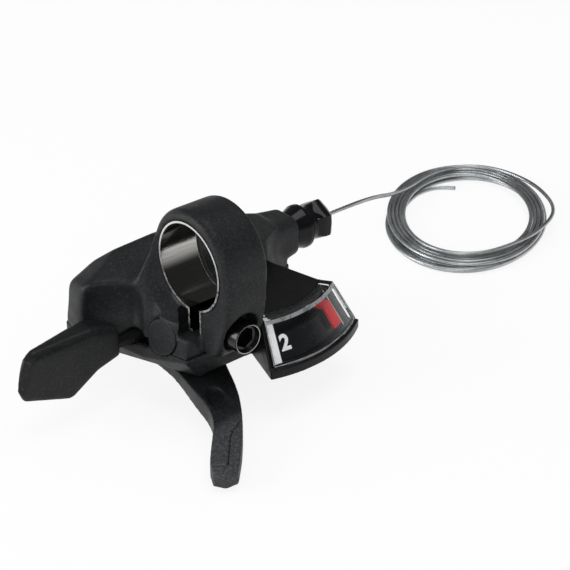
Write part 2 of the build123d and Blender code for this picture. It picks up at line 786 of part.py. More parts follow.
# Winder: cable drum, gear for the needle, key for the ratchet plate and a room for the spring
with BuildPart() as winder:
    with BuildSketch(over(spindle, winder_bottom)):
        Circle(winder_radius)
    extrude(amount=winder_top - winder_bottom)
    with BuildSketch(Plane((*spindle, groove_level), x_dir=(1, 0, 0), z_dir=(0, -1, 0))):
        with Locations((groove_radius, 0)):
            Circle(cable_radius + fit_gap)
            Rectangle(winder_radius, 2 * (cable_radius + fit_gap), align=(Align.MIN, Align.CENTER))
    revolve(axis=Axis((*spindle, 0), (0, 0, 1)), mode=Mode.SUBTRACT)
    with BuildSketch(over(spindle, gear_bottom)):
        add(gear_sketch(gear_direction))
    extrude(amount=winder_bottom - gear_bottom)
    with BuildSketch(over(spindle, ratchet_bottom)):
        RegularPolygon(ratchet_key, 6)
    extrude(amount=gear_bottom - ratchet_bottom)
    with BuildSketch(over(spindle, winder_top)):
        Circle(spring_radius + spring_room / 2)
        Circle(spring_radius - spring_room / 2, mode=Mode.SUBTRACT)
    extrude(amount=-spring_depth, mode=Mode.SUBTRACT)
    with BuildSketch(over(polar(spindle, nipple_reach, nipple_angle), groove_level - nipple_height / 2)):
        Circle(nipple_radius + fit_gap)
    extrude(amount=beyond, mode=Mode.SUBTRACT)
    with BuildSketch(over(spindle, ratchet_bottom)):
        Circle(spindle_bore)
    extrude(amount=beyond, mode=Mode.SUBTRACT)
save(winder, "winder")

with BuildPart() as return_spring:
    with BuildLine(over(spindle, winder_top - spring_depth + spring_wire / 2)):
        Helix(spring_pitch, spring_pitch * spring_turns, spring_radius)
    with BuildSketch(Plane(
        (spindle[0] + spring_radius, spindle[1], winder_top - spring_depth + spring_wire / 2),
        x_dir=(1, 0, 0), z_dir=(0, 1, 0),
    )):
        Rectangle(spring_wire, spring_wire)
    sweep(is_frenet=True)
save(return_spring, "return_spring")

with BuildPart() as cable_nipple:
    with BuildSketch(over(polar(spindle, nipple_reach, nipple_angle), groove_level - nipple_height / 2)):
        Circle(nipple_radius)
    extrude(amount=nipple_height)
save(cable_nipple, "cable_nipple")

with BuildPart() as ratchet_plate:
    with BuildSketch(over(spindle, ratchet_bottom)):
        Circle(ratchet_root)
        for tooth_angle in (hold_tooth_angle, second_tooth_angle, feed_tooth_angle):
            Polygon(*ratchet_tooth(tooth_angle), align=None)
        RegularPolygon(ratchet_key + running_gap, 6, mode=Mode.SUBTRACT)
    extrude(amount=plate_thickness)
save(ratchet_plate, "ratchet_plate")

for name, pin_angle, tip_angle in (
    ("hold_pawl", hold_pin_angle, hold_tip_angle),
    ("feed_pawl", feed_pin_angle, feed_tip_angle),
):
    with BuildPart() as pawl_piece:
        with BuildSketch(level(ratchet_bottom)):
            add(pawl_sketch(pin_angle, tip_angle))
        extrude(amount=plate_thickness)
    save(pawl_piece, name)

with BuildPart() as drive_plate:
    with BuildSketch(drive_frame(drive_bottom)):
        Circle(drive_radius)
        with Locations((pawl_pin_reach / 2, 0)):
            Rectangle(pawl_pin_reach, drive_arm_width)
        with Locations((pawl_pin_reach, 0)):
            Circle(drive_arm_width / 2)
            Circle(pawl_pin_radius, mode=Mode.SUBTRACT)
        Rectangle(lever_key + 2 * running_gap, lever_key + 2 * running_gap, mode=Mode.SUBTRACT)
    extrude(amount=plate_thickness)
save(drive_plate, "drive_plate")

# Release trigger: a steel arm on the spindle with a moulded finger paddle
with BuildPart() as trigger_plate:
    with BuildSketch(level(trigger_plate_bottom)):
        Polygon(*trigger_arm, align=None)
        with Locations(spindle):
            Circle(trigger_hub)
            Circle(spindle_bore, mode=Mode.SUBTRACT)
    extrude(amount=plate_thickness)
save(trigger_plate, "trigger_plate")

with BuildPart() as trigger_lever:
    with BuildSketch(level(cover_bottom - beyond)):
        Polygon(*trigger_plan, align=None)
    extrude(amount=2 * beyond)
    with BuildSketch(Plane.XZ):
        Polygon(*trigger_outline, align=None)
    extrude(amount=beyond, both=True, mode=Mode.INTERSECT)
    rider_edges = trigger_lever.faces().sort_by(Axis.Y)[0].edges()
    upper_edges = rider_edges.filter_by(lambda edge: edge.center().Z > trigger_bevel_foot)
    chamfer(upper_edges.filter_by(lambda edge: edge.center().X < trigger_root - fit_gap), trigger_bevel)
    with BuildSketch(level(trigger_plate_bottom)):
        Polygon(*trigger_arm, align=None)
    extrude(amount=plate_thickness, mode=Mode.SUBTRACT)
save(trigger_lever, "trigger_lever")

# Thumb lever: one outline from above and one from the side, then the tip cap is taken off it
with BuildPart() as lever_blank:
    with BuildSketch(level(floor_level)):
        with Locations(spindle):
            Circle(lever_hub)
        with BuildLine():
            Spline(*lever_left)
            Polyline(lever_left[-1], *lever_tip, lever_right[0])
            Spline(*lever_right)
            Line(lever_right[-1], lever_left[0])
        make_face()
    extrude(amount=lever_top - floor_level)
    with BuildSketch(Plane((*spindle, 0), x_dir=lever_slope, z_dir=(lever_slope[1], -lever_slope[0], 0))):
        Polygon(*lever_side, align=None)
    extrude(amount=beyond, both=True, mode=Mode.INTERSECT)

with BuildPart() as thumb_lever:
    add(lever_blank.part)
    with BuildSketch(level(floor_level)):
        Polygon(*lever_cap_edge, align=None)
    extrude(amount=beyond, mode=Mode.SUBTRACT)
    with BuildSketch(Plane((*lever_dimple_place, lever_top), x_dir=lever_slope)):
        Ellipse(*lever_dimple)
    extrude(amount=-lever_dimple_depth, mode=Mode.SUBTRACT)
    with BuildSketch(over(spindle, lever_top)):
        Circle(lever_boss)
    extrude(amount=drive_bottom - lever_top)
    with BuildSketch(drive_frame(drive_bottom)):
        Rectangle(lever_key, lever_key)
    extrude(amount=plate_thickness)
    with BuildSketch(over(spindle, lever_hub_bottom)):
        Circle(spindle_bore)
    extrude(amount=beyond, mode=Mode.SUBTRACT)
save(thumb_lever, "thumb_lever")

with BuildPart() as thumb_lever_cap:
    add(lever_blank.part)
    with BuildSketch(level(floor_level)):
        Polygon(*lever_cap_edge, align=None)
    extrude(amount=beyond, mode=Mode.INTERSECT)
save(thumb_lever_cap, "thumb_lever_cap")

# Indicator: needle with its gear, dial, clear window, top plate and base
with BuildPart() as needle:
    with BuildSketch(over(needle_pivot, gear_bottom)):
        add(gear_sketch(gear_direction + 180 + gear_step / 2))
    extrude(amount=needle_gear_top - gear_bottom)
    with BuildSketch(over(needle_pivot, needle_arm_bottom).rotated((0, 0, needle_angle))):
        with Locations((needle_pin_radius, 0)):
            Rectangle(needle_reach, 2 * needle_arm_half_width, align=(Align.MIN, Align.CENTER))
    extrude(amount=needle_arm_top - needle_arm_bottom)
    add(fan_sector(
        [
            (lens_face(needle_depth, needle_arm_top), needle_arm_top),
            (lens_face(needle_depth, needle_foot), needle_foot),
            (lens_face(needle_depth + needle_wall, needle_foot), needle_foot),
            (lens_face(needle_depth + needle_wall, needle_arm_top), needle_arm_top),
        ],
        needle_angle - needle_span / 2, needle_angle + needle_span / 2,
    ))
    with BuildSketch(over(needle_pivot, gear_bottom)):
        Circle(needle_pin_radius + running_gap)
    extrude(amount=beyond, mode=Mode.SUBTRACT)
save(needle, "needle")

with BuildPart() as dial_plate:
    add(fan_sector(
        [
            (lens_face(dial_depth, dial_top), dial_top), (lens_face(dial_depth, fan_floor), fan_floor),
            (lens_face(dial_depth + dial_wall, fan_floor), fan_floor),
            (lens_face(dial_depth + dial_wall, dial_top), dial_top),
        ],
        fan_start + lens_end_span + clear_gap, fan_end - lens_end_span - clear_gap,
    ))
save(dial_plate, "dial_plate")

with BuildPart() as indicator_lens:
    add(fan_sector(
        [
            (lens_inner, fan_top), (lens_top_radius, fan_top), (window_radius, lens_foot),
            (lens_face(lens_wall, lens_foot), lens_foot), (lens_face(lens_wall, lens_under), lens_under),
            (lens_inner, lens_under),
        ],
        fan_start, fan_end,
    ))
    for end_start in (fan_start, fan_end - lens_end_span):
        add(fan_sector(
            [
                (lens_inner, fan_top), (lens_top_radius, fan_top), (window_radius, lens_foot),
                (lens_face(lens_end_depth, lens_foot), lens_foot), (lens_inner, lens_end_foot),
            ],
            end_start, end_start + lens_end_span,
        ))
save(indicator_lens, "indicator_lens")

with BuildPart() as indicator_top:
    with BuildSketch(level(fan_top - fan_wall)):
        Polygon(*fan_top_corners, align=None)
        with Locations(needle_pivot):
            Circle(lens_inner - running_gap, mode=Mode.INTERSECT)
        with Locations(spindle):
            Circle(well_radius + well_wall + fit_gap, mode=Mode.SUBTRACT)
    extrude(amount=fan_wall)
    add(fan_sector(
        [
            (lens_inner - fan_tongue, fan_top - fan_wall),
            (lens_inner - fan_tongue, lens_under - fan_tongue_wall),
            (lens_inner + fan_tongue, lens_under - fan_tongue_wall), (lens_inner + fan_tongue, lens_under),
            (lens_inner - running_gap, lens_under), (lens_inner - running_gap, fan_top - fan_wall),
        ],
        fan_start + 2 * lens_end_span, fan_end - 2 * lens_end_span,
    ))
save(indicator_top, "indicator_top")

with BuildPart() as indicator_base:
    with BuildSketch(level(fan_bottom)):
        Polygon(*fan_floor_corners, align=None)
        with Locations(needle_pivot):
            Circle(base_lip_radius, mode=Mode.INTERSECT)
    extrude(amount=fan_base_wall)
    add(fan_sector(
        [
            (base_lip_inner, fan_floor), (base_lip_radius, fan_floor), (base_lip_radius, lens_foot - fit_gap),
            (window_radius, lens_foot), (base_lip_inner, lens_foot),
        ],
        fan_start, fan_end,
    ))
    add(fan_sector(
        [
            (fan_side_inner, fan_floor), (fan_side_inner, fan_top - fan_wall),
            (lens_inner, fan_top - fan_wall), (lens_inner, fan_top), (lens_top_radius, fan_top),
            (window_radius, lens_foot), (base_lip_radius, lens_foot - fit_gap), (base_lip_radius, fan_floor),
        ],
        fan_side_angle, fan_start,
    ))
    add(fan_sector(
        [
            (fan_end_inner, fan_floor), (fan_end_inner, fan_top - fan_wall),
            (lens_inner, fan_top - fan_wall), (lens_inner - fit_gap, lens_end_foot),
            (lens_face(lens_end_depth, lens_foot) - fit_gap, lens_foot), (base_lip_inner, lens_foot),
            (base_lip_inner, fan_floor),
        ],
        fan_end - fan_side_span, fan_end,
    ))
    with BuildSketch(level(fan_bottom)):
        Polygon(*fan_return, align=None)
    extrude(amount=fan_top - fan_wall - fan_bottom)
    with BuildSketch(level(seam)):
        Polygon(*inboard_strip, align=None)
    extrude(amount=fan_top - fan_wall - seam)
save(indicator_base, "indicator_base")

# Cable adjuster: a threaded collar with a knob turning on its end
with BuildPart() as adjuster_collar:
    with BuildSketch(along_cable()):
        Polygon(
            (sleeve_start, cable_bore), (sleeve_start, sleeve_radius), (collar_start, sleeve_radius),
            (collar_start, neck_radius), (collar_flange, collar_radius),
            (collar_flange + collar_taper, collar_radius), (collar_end - collar_taper, neck_radius),
            (collar_end, neck_radius), (collar_end, spigot_radius),
            (collar_end + spigot_length, spigot_radius), (collar_end + spigot_length, cable_bore), align=None,
        )
    revolve(axis=cable_axis)
save(adjuster_collar, "adjuster_collar")

knob_start = collar_end + fit_gap
with BuildPart() as adjuster_knob:
    with BuildSketch(along_cable()):
        Polygon(
            (knob_start, spigot_radius + running_gap), (knob_start, neck_radius),
            (knob_start + collar_taper, knob_radius), (knob_end - collar_taper, knob_radius),
            (knob_end, neck_radius), (knob_end, casing_radius), (knob_end - casing_depth, casing_radius),
            (knob_end - casing_depth, cable_bore), (knob_start + spigot_length + fit_gap, cable_bore),
            (knob_start + spigot_length + fit_gap, spigot_radius + running_gap), align=None,
        )
    revolve(axis=cable_axis)
    with BuildSketch(across_bar(knob_start + collar_taper, cable_y, groove_level)):
        with PolarLocations(flute_reach, knob_flutes):
            Circle(flute_radius)
    extrude(amount=beyond, mode=Mode.SUBTRACT)
save(adjuster_knob, "adjuster_knob")

# Cable: wrapped on the winder and straight to the adjuster, then free to a loose coil
with BuildPart() as cable_inner:
    with BuildLine(level(groove_level)):
        Line((knob_end, cable_y), (spindle[0], cable_y))
        CenterArc(spindle, groove_radius, 90, cable_wrap)
    with BuildSketch(across_bar(knob_end, cable_y, groove_level)):
        Circle(cable_radius)
    sweep()
save(cable_inner, "cable_inner")

with BuildPart() as cable_coil:
    with BuildSketch(over(coil_center, floor_level).rotated((0, 0, coil_turn))):
        Ellipse(*coil_outer)
        Ellipse(*coil_inner, mode=Mode.SUBTRACT)
    extrude(amount=coil_height)
save(cable_coil, "cable_coil")

lead_radii = bend_radii(lead_route)
print("cable bend radii", [round(radius, 2) for radius in lead_radii])
with BuildPart() as cable_lead:
    with BuildLine() as lead_line:
        FilletPolyline(*lead_route, radius=lead_radii)
    with BuildSketch(Plane(lead_line.line @ 0, z_dir=lead_line.line % 0)):
        Circle(cable_radius)
    sweep()
    add(cable_coil.part, mode=Mode.SUBTRACT)
save(cable_lead, "cable_lead")
lead_volume = pi * cable_radius ** 2 * sum(edge.length for edge in lead_line.edges())
print("cable lead volume", round(cable_lead.part.volume, 1), "of", round(lead_volume, 1))
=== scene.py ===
"""Trigger gear shifter: moulded housing and levers, clamp, gear indicator, cable and a plain studio."""
import math

import bmesh
import bpy
from mathutils import Matrix, Vector


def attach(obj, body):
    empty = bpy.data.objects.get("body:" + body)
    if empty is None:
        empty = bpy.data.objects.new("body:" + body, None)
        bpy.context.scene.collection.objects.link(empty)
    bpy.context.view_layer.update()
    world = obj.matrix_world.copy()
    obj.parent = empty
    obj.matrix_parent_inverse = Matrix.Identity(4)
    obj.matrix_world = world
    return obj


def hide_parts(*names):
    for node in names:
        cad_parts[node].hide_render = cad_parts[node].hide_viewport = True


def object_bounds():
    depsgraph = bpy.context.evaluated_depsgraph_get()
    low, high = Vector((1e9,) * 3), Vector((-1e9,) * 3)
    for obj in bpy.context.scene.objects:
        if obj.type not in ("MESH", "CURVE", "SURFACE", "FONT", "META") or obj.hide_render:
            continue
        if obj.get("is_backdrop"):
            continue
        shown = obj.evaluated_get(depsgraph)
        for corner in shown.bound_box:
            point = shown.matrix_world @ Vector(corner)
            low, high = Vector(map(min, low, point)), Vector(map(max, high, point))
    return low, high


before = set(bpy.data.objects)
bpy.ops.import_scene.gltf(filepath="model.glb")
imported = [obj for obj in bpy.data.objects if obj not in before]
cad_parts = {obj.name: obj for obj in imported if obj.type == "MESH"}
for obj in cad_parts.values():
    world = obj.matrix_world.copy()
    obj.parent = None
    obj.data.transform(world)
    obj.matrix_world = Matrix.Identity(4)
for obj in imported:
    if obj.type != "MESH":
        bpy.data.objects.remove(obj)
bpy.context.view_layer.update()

bl_info = {
    "name": "Trigger Gear Shifter",
    "version": (1, 0, 0),
    "blender": (4, 5, 0),
    "location": "3D View > Sidebar > Shifter",
    "description": "Dresses the packed trigger gear shifter and sets up its studio",
    "category": "Object",
}

MM = 0.001

# Camera of the reference view: where it stands about the clamp's centre, and which way it looks, in degrees
CAMERA_STAND = (-37.922, 28.083)
CAMERA_DISTANCE = 0.38287
CAMERA_AIM = (-41.139, 29.022)
CAMERA_LENS = 100.0
CAMERA_CLIP_START = 0.01

# Studio, in metres and watts: the floor, the light of walls and ceiling, and the lamps with place, size and power
FLOOR_HALF = 3.0
FLOOR_ROUGHNESS = 0.9
FLOOR_SEEN_SHARE = 0.86
AMBIENT_LIGHT = 0.55
WALL_LIGHT = 1.0
CEILING_LIGHT = 0.15
CEILING_RISE = (0.0, 0.3)
LAMPS = [
    ("key_box", (-0.7, 0.4, 0.25), 0.5, 4.5),
    ("front_box", (-0.5, -0.6, 0.35), 0.3, 1.2),
    ("top_box", (0.12, -0.05, 0.8), 0.5, 2.3),
]
LAMP_AIM = (0.03, 0.0, -0.02)

# Cable: the lead from the adjuster, then the loose coil on the floor, in millimetres and degrees. The free loop sinks
# to the upper layer after a share of its turn.
LEAD_ROUTE = [
    (58.2, 22.5, -16.0), (69.5, 23.2, -16.4), (80.0, 26.0, -18.6), (89.5, 31.0, -22.6), (99.0, 37.0, -27.4),
    (107.5, 42.4, -31.4),
]
ROUTE_RESOLUTION = 13
COIL_CENTER = (122.0, 25.0)
COIL_TURN = 37.0
COIL_HALF_AXES = (31.6, 21.9)
COIL_SPREAD = (1.0, 0.68)
COIL_START = 66.0
COIL_POINTS_PER_TURN = 14
FREE_LOOP_REACH = [-2.8, -2.6, -1.8, -0.6, 1.0, 4.6, 8.2, 2.6, -0.8, -0.4, 0.4, -0.4, -2.4, -3.6]
FREE_LOOP_LEVEL = -33.6
FREE_LOOP_FALL = 0.7
UPPER_LAYER = -35.5
LOWER_LAYER = -37.4
UPPER_REACH = [-3.6, -1.7, 0.1, 1.9, 3.7]
LOWER_REACH = [3.6, 2.3, 1.0, -0.4, -1.9]
CUT_END = [(50.0, -3.2), (36.0, -5.6), (25.0, -8.2)]
UPPER_TILT = 4.0
LOWER_TILT = -3.0
UPPER_SHIFT = (-1.75, -0.7)
LOWER_SHIFT = (-2.65, -1.5)
WIRE_COUNT = 12
WIRE_LAY = 9.0
WIRE_GROOVE = 0.14

# Gear indicator: a cone about the needle's pivot, in millimetres and degrees
NEEDLE_PIVOT = (17.0, 16.9)
WINDOW_TOP = -15.0
WINDOW_FOOT = -25.0
WINDOW_TOP_RADIUS = 30.3
WINDOW_LEAN = 0.62
WINDOW_SLOPE = math.sqrt(1.0 + WINDOW_LEAN * WINDOW_LEAN)
DIAL_DEPTH = 3.4

# Patches along the dial: start and end angle, top and bottom, and the distances of two faces in front of the dial.
# The shroud is a strip over the needle's slot, a wall behind the slot and one at the inboard end.
PATCH_STEPS = 24
PRINT_PROUD = 0.06
OUTBOARD_BAND = (-106.2, -102.9, -16.6, -25.6, -0.2, 1.9)
INBOARD_BAND = (-58.7, -57.9, -17.2, -26.4, 0.0, PRINT_PROUD)
SHROUD_PATCHES = [
    (-106.4, -57.6, WINDOW_TOP - 1.45, WINDOW_TOP - 3.1, -0.3, 0.0),
    (-106.4, -57.6, WINDOW_TOP - 4.75, WINDOW_FOOT - 1.4, -5.3, -5.0),
    (-57.8, -57.5, WINDOW_TOP - 1.45, WINDOW_FOOT - 1.2, -13.0, 1.8),
]
RIM_FACES = (DIAL_DEPTH - 0.05, DIAL_DEPTH + 0.05)
# The window's rim: pale strips along its edges and ribs at its inboard end, painted as highlights on the clear window
RIM_PATCHES = [
    (-107.4, -55.2, WINDOW_TOP - 0.08, WINDOW_TOP - 0.85, *RIM_FACES),
    (-107.2, -55.4, WINDOW_FOOT + 0.42, WINDOW_FOOT + 0.28, *RIM_FACES),
    (-107.4, -107.0, WINDOW_TOP - 0.85, WINDOW_FOOT + 0.5, *RIM_FACES),
    (-57.3, -57.0, WINDOW_TOP - 0.85, WINDOW_FOOT + 0.5, *RIM_FACES),
]
RIB_COUNT = 24
RIB_ANGLES = (-56.5, -55.1)
RIB_TOP = WINDOW_TOP - 0.8
RIB_PITCH = (WINDOW_TOP - WINDOW_FOOT - 1.2) / RIB_COUNT
RIB_SHARE = 0.55
RIB_PROUD = 0.05

# Numerals: piece, text, angle, height of the middle, share of the full height, and boldness
NUMERALS = [
    ("print_two", "2", -97.5, -22.3, 1.0, 0.035),
    ("print_one", "1", -60.4, -22.4, 0.9, 0.03),
]
NUMERAL_RESOLUTION = 8
NUMERAL_THICKNESS = 0.01

# Housing near the clamp, in millimetres: the flare that runs into the ring's rim, the strip of wall beside the nut,
# each corner with its share of the wall's lean, and the places where the moulding is eased more than elsewhere
RING_FACE = -5.75
FLARE_RADIUS = 12.5
FLARE_SLOPE = 0.45
FLARE_REACH = 12.0
FLARE_SIDES = 96
WALL_STRIP = [(-9.6, -0.85, 1.0), (-6.4, 3.5, 0.0), (-6.4, 5.5, 0.0), (-11.3, 5.5, 1.0)]
WALL_STRIP_LEVELS = (-19.0, -11.9)
WALL_SLOPE = 0.204
EASED_PLACES = [((-16.0, 16.0, -14.0), 10.0), ((-9.5, 11.0, -5.0), 8.0), ((-22.0, 27.0, -12.0), 9.0)]

# Easing of the mouldings: the factor of a round, how soon and by how many more rounds the eased places are eased,
# the shares of faces kept, and the levers' share of the mesh's spacing
SMOOTH_FACTOR = 0.5
EASED_GAIN = 2.5
EASED_ROUNDS = 18
BRACKET_KEEP = 0.5
LEVER_KEEP = 0.8
LEVER_FINENESS = 0.85

# Turned pieces: place along the axis, radius in millimetres, and how far the step is a hexagon. The bolt runs along
# Y from its end to its socket, with one band as its bright rim; the knob runs along X, round its outside and back
# through its bore.
TURNED_SIDES = 72
SHARP_ANGLE = math.radians(24.0)
BOLT_AXIS = (0.0, -15.4)
BOLT_PROFILE = [
    (4.0, 0.01, 0.0), (4.0, 1.6, 0.0), (3.6, 2.0, 0.0), (-9.2, 2.0, 0.0), (-9.2, 3.8, 0.0), (-9.4, 4.0, 0.0),
    (-15.0, 4.0, 0.0), (-15.3, 3.93, 0.0), (-15.45, 3.75, 0.0), (-15.4, 3.6, 0.0), (-15.0, 3.45, 0.0),
    (-14.2, 3.1, 0.0), (-14.0, 2.5, 1.0), (-11.4, 2.5, 1.0), (-11.4, 0.01, 1.0),
]
BOLT_RIM = (8,)
KNOB_AXIS = (22.5, -16.0)
KNOB_PROFILE = [
    (53.2, 2.7, 0.0), (53.2, 4.5, 0.0), (53.6, 4.75, 0.2), (54.5, 5.0, 0.9), (55.3, 5.2, 1.0), (56.9, 5.2, 1.0),
    (57.7, 4.75, 0.9), (58.1, 4.4, 0.5), (58.2, 4.1, 0.3), (58.2, 2.3, 0.0), (55.8, 2.3, 0.0), (55.8, 0.9, 0.0),
    (54.9, 0.9, 0.0), (54.9, 2.7, 0.0),
]

# Finishes: colours that no setting changes, the middle range of a noise, directions of brushing, and in metres where
# the thumb lever is rubbed, where the liner's rims begin and over which heights it darkens downwards
DUST = (0.17, 0.165, 0.15)
FINE_DUST = (0.2, 0.2, 0.2)
LINER_LOW_TONE = (0.03, 0.029, 0.027)
SHEARED_STEEL = (0.62, 0.61, 0.58)
BARE_STEEL = (0.34, 0.34, 0.35)
# Pale tones of the window's rim, painted highlight on its edges
DULL_EDGE_HIGHLIGHT = (0.24, 0.25, 0.27)
BRIGHT_EDGE_HIGHLIGHT = (0.64, 0.66, 0.68)
WINDOW_COLOUR = (0.97, 0.98, 0.985, 1.0)
WINDOW_TINT = (0.35, 0.37, 0.4, 1.0)
SCREW_BLACK = (0.006, 0.006, 0.007)
BOLT_BLACK = (0.003, 0.003, 0.0035)
ARM_BLACK = (0.004, 0.004, 0.0045)
WINDER_CREAM = (0.62, 0.6, 0.55)
MIDDLE = (0.3, 0.7)
BRUSHED_ALONG_BAR = (0.04, 1.0, 1.0)
BRUSHED_ACROSS = (1.0, 0.3, 1.0)
BRUSHED_UPRIGHT = (1.0, 1.0, 0.2)
HAZE_STRETCH = (0.25, 1.0, 1.0)
THUMB_RUBBED = (0.0205, 0.023)
LINER_RIM = (0.0055, 0.00555)
LINER_DARKENING = (0.0025, -0.005)

# Sockets of a Mix node that hold its two colours and their mixture
MIX_FIRST_COLOUR, MIX_SECOND_COLOUR, MIX_COLOUR_RESULT = 6, 7, 2


class ShifterSizes(bpy.types.PropertyGroup):
    """Sizes that can be changed without touching the frame."""

    cable_diameter: bpy.props.FloatProperty(
        name="Cable Diameter", description="Thickness of the stranded inner cable",
        default=0.0012, min=0.0006, unit="LENGTH", precision=4,
    )
    cable_length: bpy.props.FloatProperty(
        name="Cable Length", description="Length of cable from the adjuster to its cut end",
        default=1.78, min=0.5, unit="LENGTH",
    )
    mould_voxel: bpy.props.FloatProperty(
        name="Mould Detail", description="Spacing of the mesh that softens the edges of the mouldings",
        default=0.00034, min=0.0001, unit="LENGTH", precision=5,
    )
    mould_rounds: bpy.props.IntProperty(
        name="Mould Rounds", description="How many times the edges of the mouldings are eased",
        default=7, min=0,
    )
    numeral_height: bpy.props.FloatProperty(
        name="Numeral Height", description="Height of the gear numerals on the dial",
        default=0.0042, min=0.001, unit="LENGTH", precision=4,
    )


class ShifterColours(bpy.types.PropertyGroup):
    """Colours of the finishes."""

    housing: bpy.props.FloatVectorProperty(
        name="Housing", description="Matte moulded plastic of the housing", subtype="COLOR", size=3,
        default=(0.0085, 0.0092, 0.0102), min=0, max=1,
    )
    levers: bpy.props.FloatVectorProperty(
        name="Levers", description="Satin plastic of the two levers", subtype="COLOR", size=3,
        default=(0.0058, 0.0063, 0.007), min=0, max=1,
    )
    tip_cap: bpy.props.FloatVectorProperty(
        name="Tip Cap", description="Grippy cap on the thumb lever", subtype="COLOR", size=3,
        default=(0.026, 0.0275, 0.03), min=0, max=1,
    )
    indicator: bpy.props.FloatVectorProperty(
        name="Indicator", description="Smooth black top of the gear indicator", subtype="COLOR", size=3,
        default=(0.0022, 0.0022, 0.0024), min=0, max=1,
    )
    dial: bpy.props.FloatVectorProperty(
        name="Dial", description="Glossy dial behind the window", subtype="COLOR", size=3,
        default=(0.004, 0.0045, 0.005), min=0, max=1,
    )
    print_white: bpy.props.FloatVectorProperty(
        name="Print", description="White print on the dial", subtype="COLOR", size=3,
        default=(0.9, 0.91, 0.92), min=0, max=1,
    )
    needle: bpy.props.FloatVectorProperty(
        name="Needle", description="Red needle", subtype="COLOR", size=3,
        default=(0.5, 0.002, 0.005), min=0, max=1,
    )
    adjuster: bpy.props.FloatVectorProperty(
        name="Adjuster", description="Polished black adjuster", subtype="COLOR", size=3,
        default=(0.004, 0.004, 0.005), min=0, max=1,
    )
    steel: bpy.props.FloatVectorProperty(
        name="Steel", description="Bright steel of the liner and the fasteners", subtype="COLOR", size=3,
        default=(0.62, 0.61, 0.59), min=0, max=1,
    )
    cable: bpy.props.FloatVectorProperty(
        name="Cable", description="Galvanised wires of the cable", subtype="COLOR", size=3,
        default=(0.50, 0.52, 0.53), min=0, max=1,
    )
    floor: bpy.props.FloatVectorProperty(
        name="Floor", description="Pale studio floor", subtype="COLOR", size=3,
        default=(0.86, 0.86, 0.86), min=0, max=1,
    )


# Pieces and meshes


def metres(point):
    """A point in millimetres as metres."""
    return Vector(point) * MM


def add_piece(name, mesh, body, material, replaced=()):
    """Link a new piece, finish it, and let it ride on a body in place of the nodes that it stands for."""
    piece = bpy.data.objects.new(name, mesh)
    bpy.context.scene.collection.objects.link(piece)
    if mesh.materials:
        mesh.materials.clear()
    mesh.materials.append(material)
    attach(piece, body)
    if replaced:
        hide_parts(*replaced)
    return piece


def dress(material, *nodes):
    """Give CAD nodes a finish."""
    for name in nodes:
        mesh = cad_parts[name].data
        mesh.materials.clear()
        mesh.materials.append(material)


def smooth_faces(mesh):
    """Shade every face of a mesh smooth."""
    mesh.polygons.foreach_set("use_smooth", [True] * len(mesh.polygons))
    mesh.update()


def bridge(shape, first, second):
    """New faces between two rings with as many points each, in order round the rings."""
    faces = []
    for step in range(len(first)):
        ahead = (step + 1) % len(first)
        faces.append(shape.faces.new((first[step], first[ahead], second[ahead], second[step])))
    return faces


def mesh_of(shape, name):
    """Mesh with the faces of a shape, which is freed."""
    mesh = bpy.data.meshes.new(name)
    shape.to_mesh(mesh)
    shape.free()
    return mesh


# Nodes


def feed(tree, value, socket):
    """Link a node's output to a socket, or set a constant on the socket itself."""
    if isinstance(value, bpy.types.NodeSocket):
        tree.links.new(value, socket)
    else:
        socket.default_value = value


def math_value(tree, operation, *values):
    """Result of a math node."""
    node = tree.nodes.new("ShaderNodeMath")
    node.operation = operation
    for value, socket in zip(values, node.inputs):
        feed(tree, value, socket)
    return node.outputs["Value"]


def mixed_value(tree, factor, first, second):
    """Mixture of two values by a factor."""
    node = tree.nodes.new("ShaderNodeMix")
    for value, name in ((factor, "Factor"), (first, "A"), (second, "B")):
        feed(tree, value, node.inputs[name])
    return node.outputs["Result"]


def ramp_value(tree, value, limits, start, end):
    """Value between two limits, stretched to run from a start to an end."""
    node = tree.nodes.new("ShaderNodeMapRange")
    for name, number in zip(("From Min", "From Max", "To Min", "To Max"), (*limits, start, end)):
        node.inputs[name].default_value = number
    tree.links.new(value, node.inputs["Value"])
    return node.outputs["Result"]


def axis_value(tree, place, axis):
    """One coordinate of a place."""
    node = tree.nodes.new("ShaderNodeSeparateXYZ")
    tree.links.new(place, node.inputs["Vector"])
    return node.outputs[axis]


def blend_surfaces(tree, factor, first, second):
    """Let a material show a mixture of two surfaces by a factor."""
    node = tree.nodes.new("ShaderNodeMixShader")
    for value, socket in zip((factor, first, second), node.inputs):
        tree.links.new(value, socket)
    tree.links.new(node.outputs["Shader"], tree.nodes["Material Output"].inputs["Surface"])


# Materials


def shade(colour, factor):
    """A colour made lighter or darker."""
    return tuple(min(1.0, channel * factor) for channel in colour)


